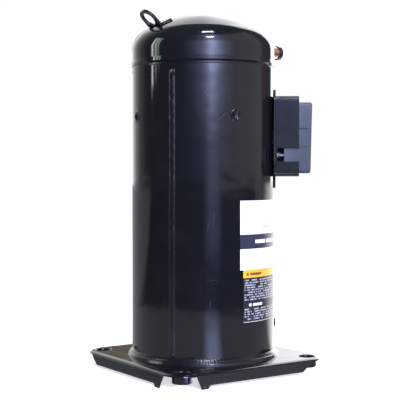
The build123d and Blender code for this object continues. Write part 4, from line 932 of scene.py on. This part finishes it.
# for reflected rays the floor glows with painted light: dark far off, a lit pool near the object, and a
# bright side behind
FLOOR_DARK, FLOOR_LIT_POOL, FLOOR_LIT_SIDE = (0.07, 0.075, 0.09), (0.50, 0.50, 0.52), (2.5, 2.45, 2.45)
# the daylight on the floor: from and to this distance in metres, and its share at each
LANE_NEAR, LANE_FAR, GLARE = (0.8, 3.0, 0.0, 0.17), (4.0, 20.0, 0.0, 0.13), (0.28, 0.85, 0.72, 0.0)


def make_floor():
    data = bpy.data.meshes.new("floor")
    half = FLOOR_SIZE / 2
    data.from_pydata([(-half, -half, 0), (half, -half, 0), (half, half, 0), (-half, half, 0)], [],
                     [(0, 1, 2, 3)])
    floor_object = bpy.data.objects.new("floor", data)
    bpy.context.scene.collection.objects.link(floor_object)
    made = bpy.data.materials.new("pale_floor")
    made.use_nodes = True
    graph = Graph(made.node_tree)
    place = graph.place()
    x, y = graph.split(place)[:2]
    shift = beside_camera(90) * LIT_POOL_SHIFT
    near = graph.add("ShaderNodeCombineXYZ", {0: graph.math("SUBTRACT", x, shift.x),
                                              1: graph.math("SUBTRACT", y, shift.y), 2: 0.0}).outputs[0]
    distance = graph.add("ShaderNodeVectorMath", {0: near}, operation="LENGTH").outputs["Value"]
    behind = graph.math("ADD", graph.math("MULTIPLY", x, beside_camera(180).x),
                        graph.math("MULTIPLY", y, beside_camera(180).y))
    lit_pool = graph.ramp(distance, LIT_POOL_RADIUS - 0.05, LIT_POOL_RADIUS + 0.05, 1.0, 0.0)
    lit_pool = graph.math("MAXIMUM", lit_pool, graph.ramp(behind, 0.1, 0.5))
    # the daylight lies on the floor far off, and glares close to the object
    ahead = graph.math("ADD", graph.math("MULTIPLY", x, beside_camera(0).x),
                       graph.math("MULTIPLY", y, beside_camera(0).y))
    aside = graph.math("ADD", graph.math("MULTIPLY", x, beside_camera(90).x),
                       graph.math("MULTIPLY", y, beside_camera(90).y))
    round_angle = graph.math("ARCTAN2", aside, ahead)
    way_off = graph.add("ShaderNodeVectorMath", {0: place}, operation="LENGTH").outputs["Value"]
    band = graph.within(round_angle, radians(5), radians(26), radians(7))
    lane = graph.math("ADD", graph.ramp(way_off, *LANE_NEAR), graph.ramp(way_off, *LANE_FAR))
    lane = graph.math("MULTIPLY", band, lane)
    glare = graph.math("MULTIPLY", graph.within(round_angle, radians(4), radians(22), radians(6)),
                       graph.ramp(way_off, *GLARE))
    daylight = graph.math("ADD", lane, glare)
    # painted light: the floor's glow is dark far off, lit near the object and bright on the side behind
    plain = graph.mix(lit_pool, FLOOR_DARK, FLOOR_LIT_POOL)
    lit_side = graph.math("MULTIPLY", graph.within(round_angle, radians(118), radians(166), radians(9)),
                            graph.ramp(way_off, 0.10, 0.22))
    plain = graph.mix(lit_side, plain, FLOOR_LIT_SIDE)
    tone = graph.mix(daylight, plain, tuple(1.6 * c for c in DAYLIGHT_COLOUR))
    reflected = graph.add("ShaderNodeEmission", {0: tone, 1: 1.0})
    matt = graph.add("ShaderNodeBsdfDiffuse", {0: colour(0.86, 0.86, 0.86)})
    glow = graph.add("ShaderNodeEmission", {0: colour(1, 1, 1), 1: 0.62})
    pale = graph.add("ShaderNodeAddShader", {0: matt.outputs[0], 1: glow.outputs[0]})
    seen = graph.add("ShaderNodeLightPath").outputs["Is Camera Ray"]
    both = graph.add("ShaderNodeMixShader", {0: seen, 1: reflected.outputs[0], 2: pale.outputs[0]})
    graph.add("ShaderNodeOutputMaterial", {"Surface": both.outputs[0]})
    data.materials.append(made)


bpy.context.scene.view_settings.view_transform = "Standard"
make_camera()
make_surroundings()
make_lights()
make_floor()
paint_cad_nodes()
top_weld()
base_weld()
seam_weld()
plug_welds()
small_beads()
box_details()
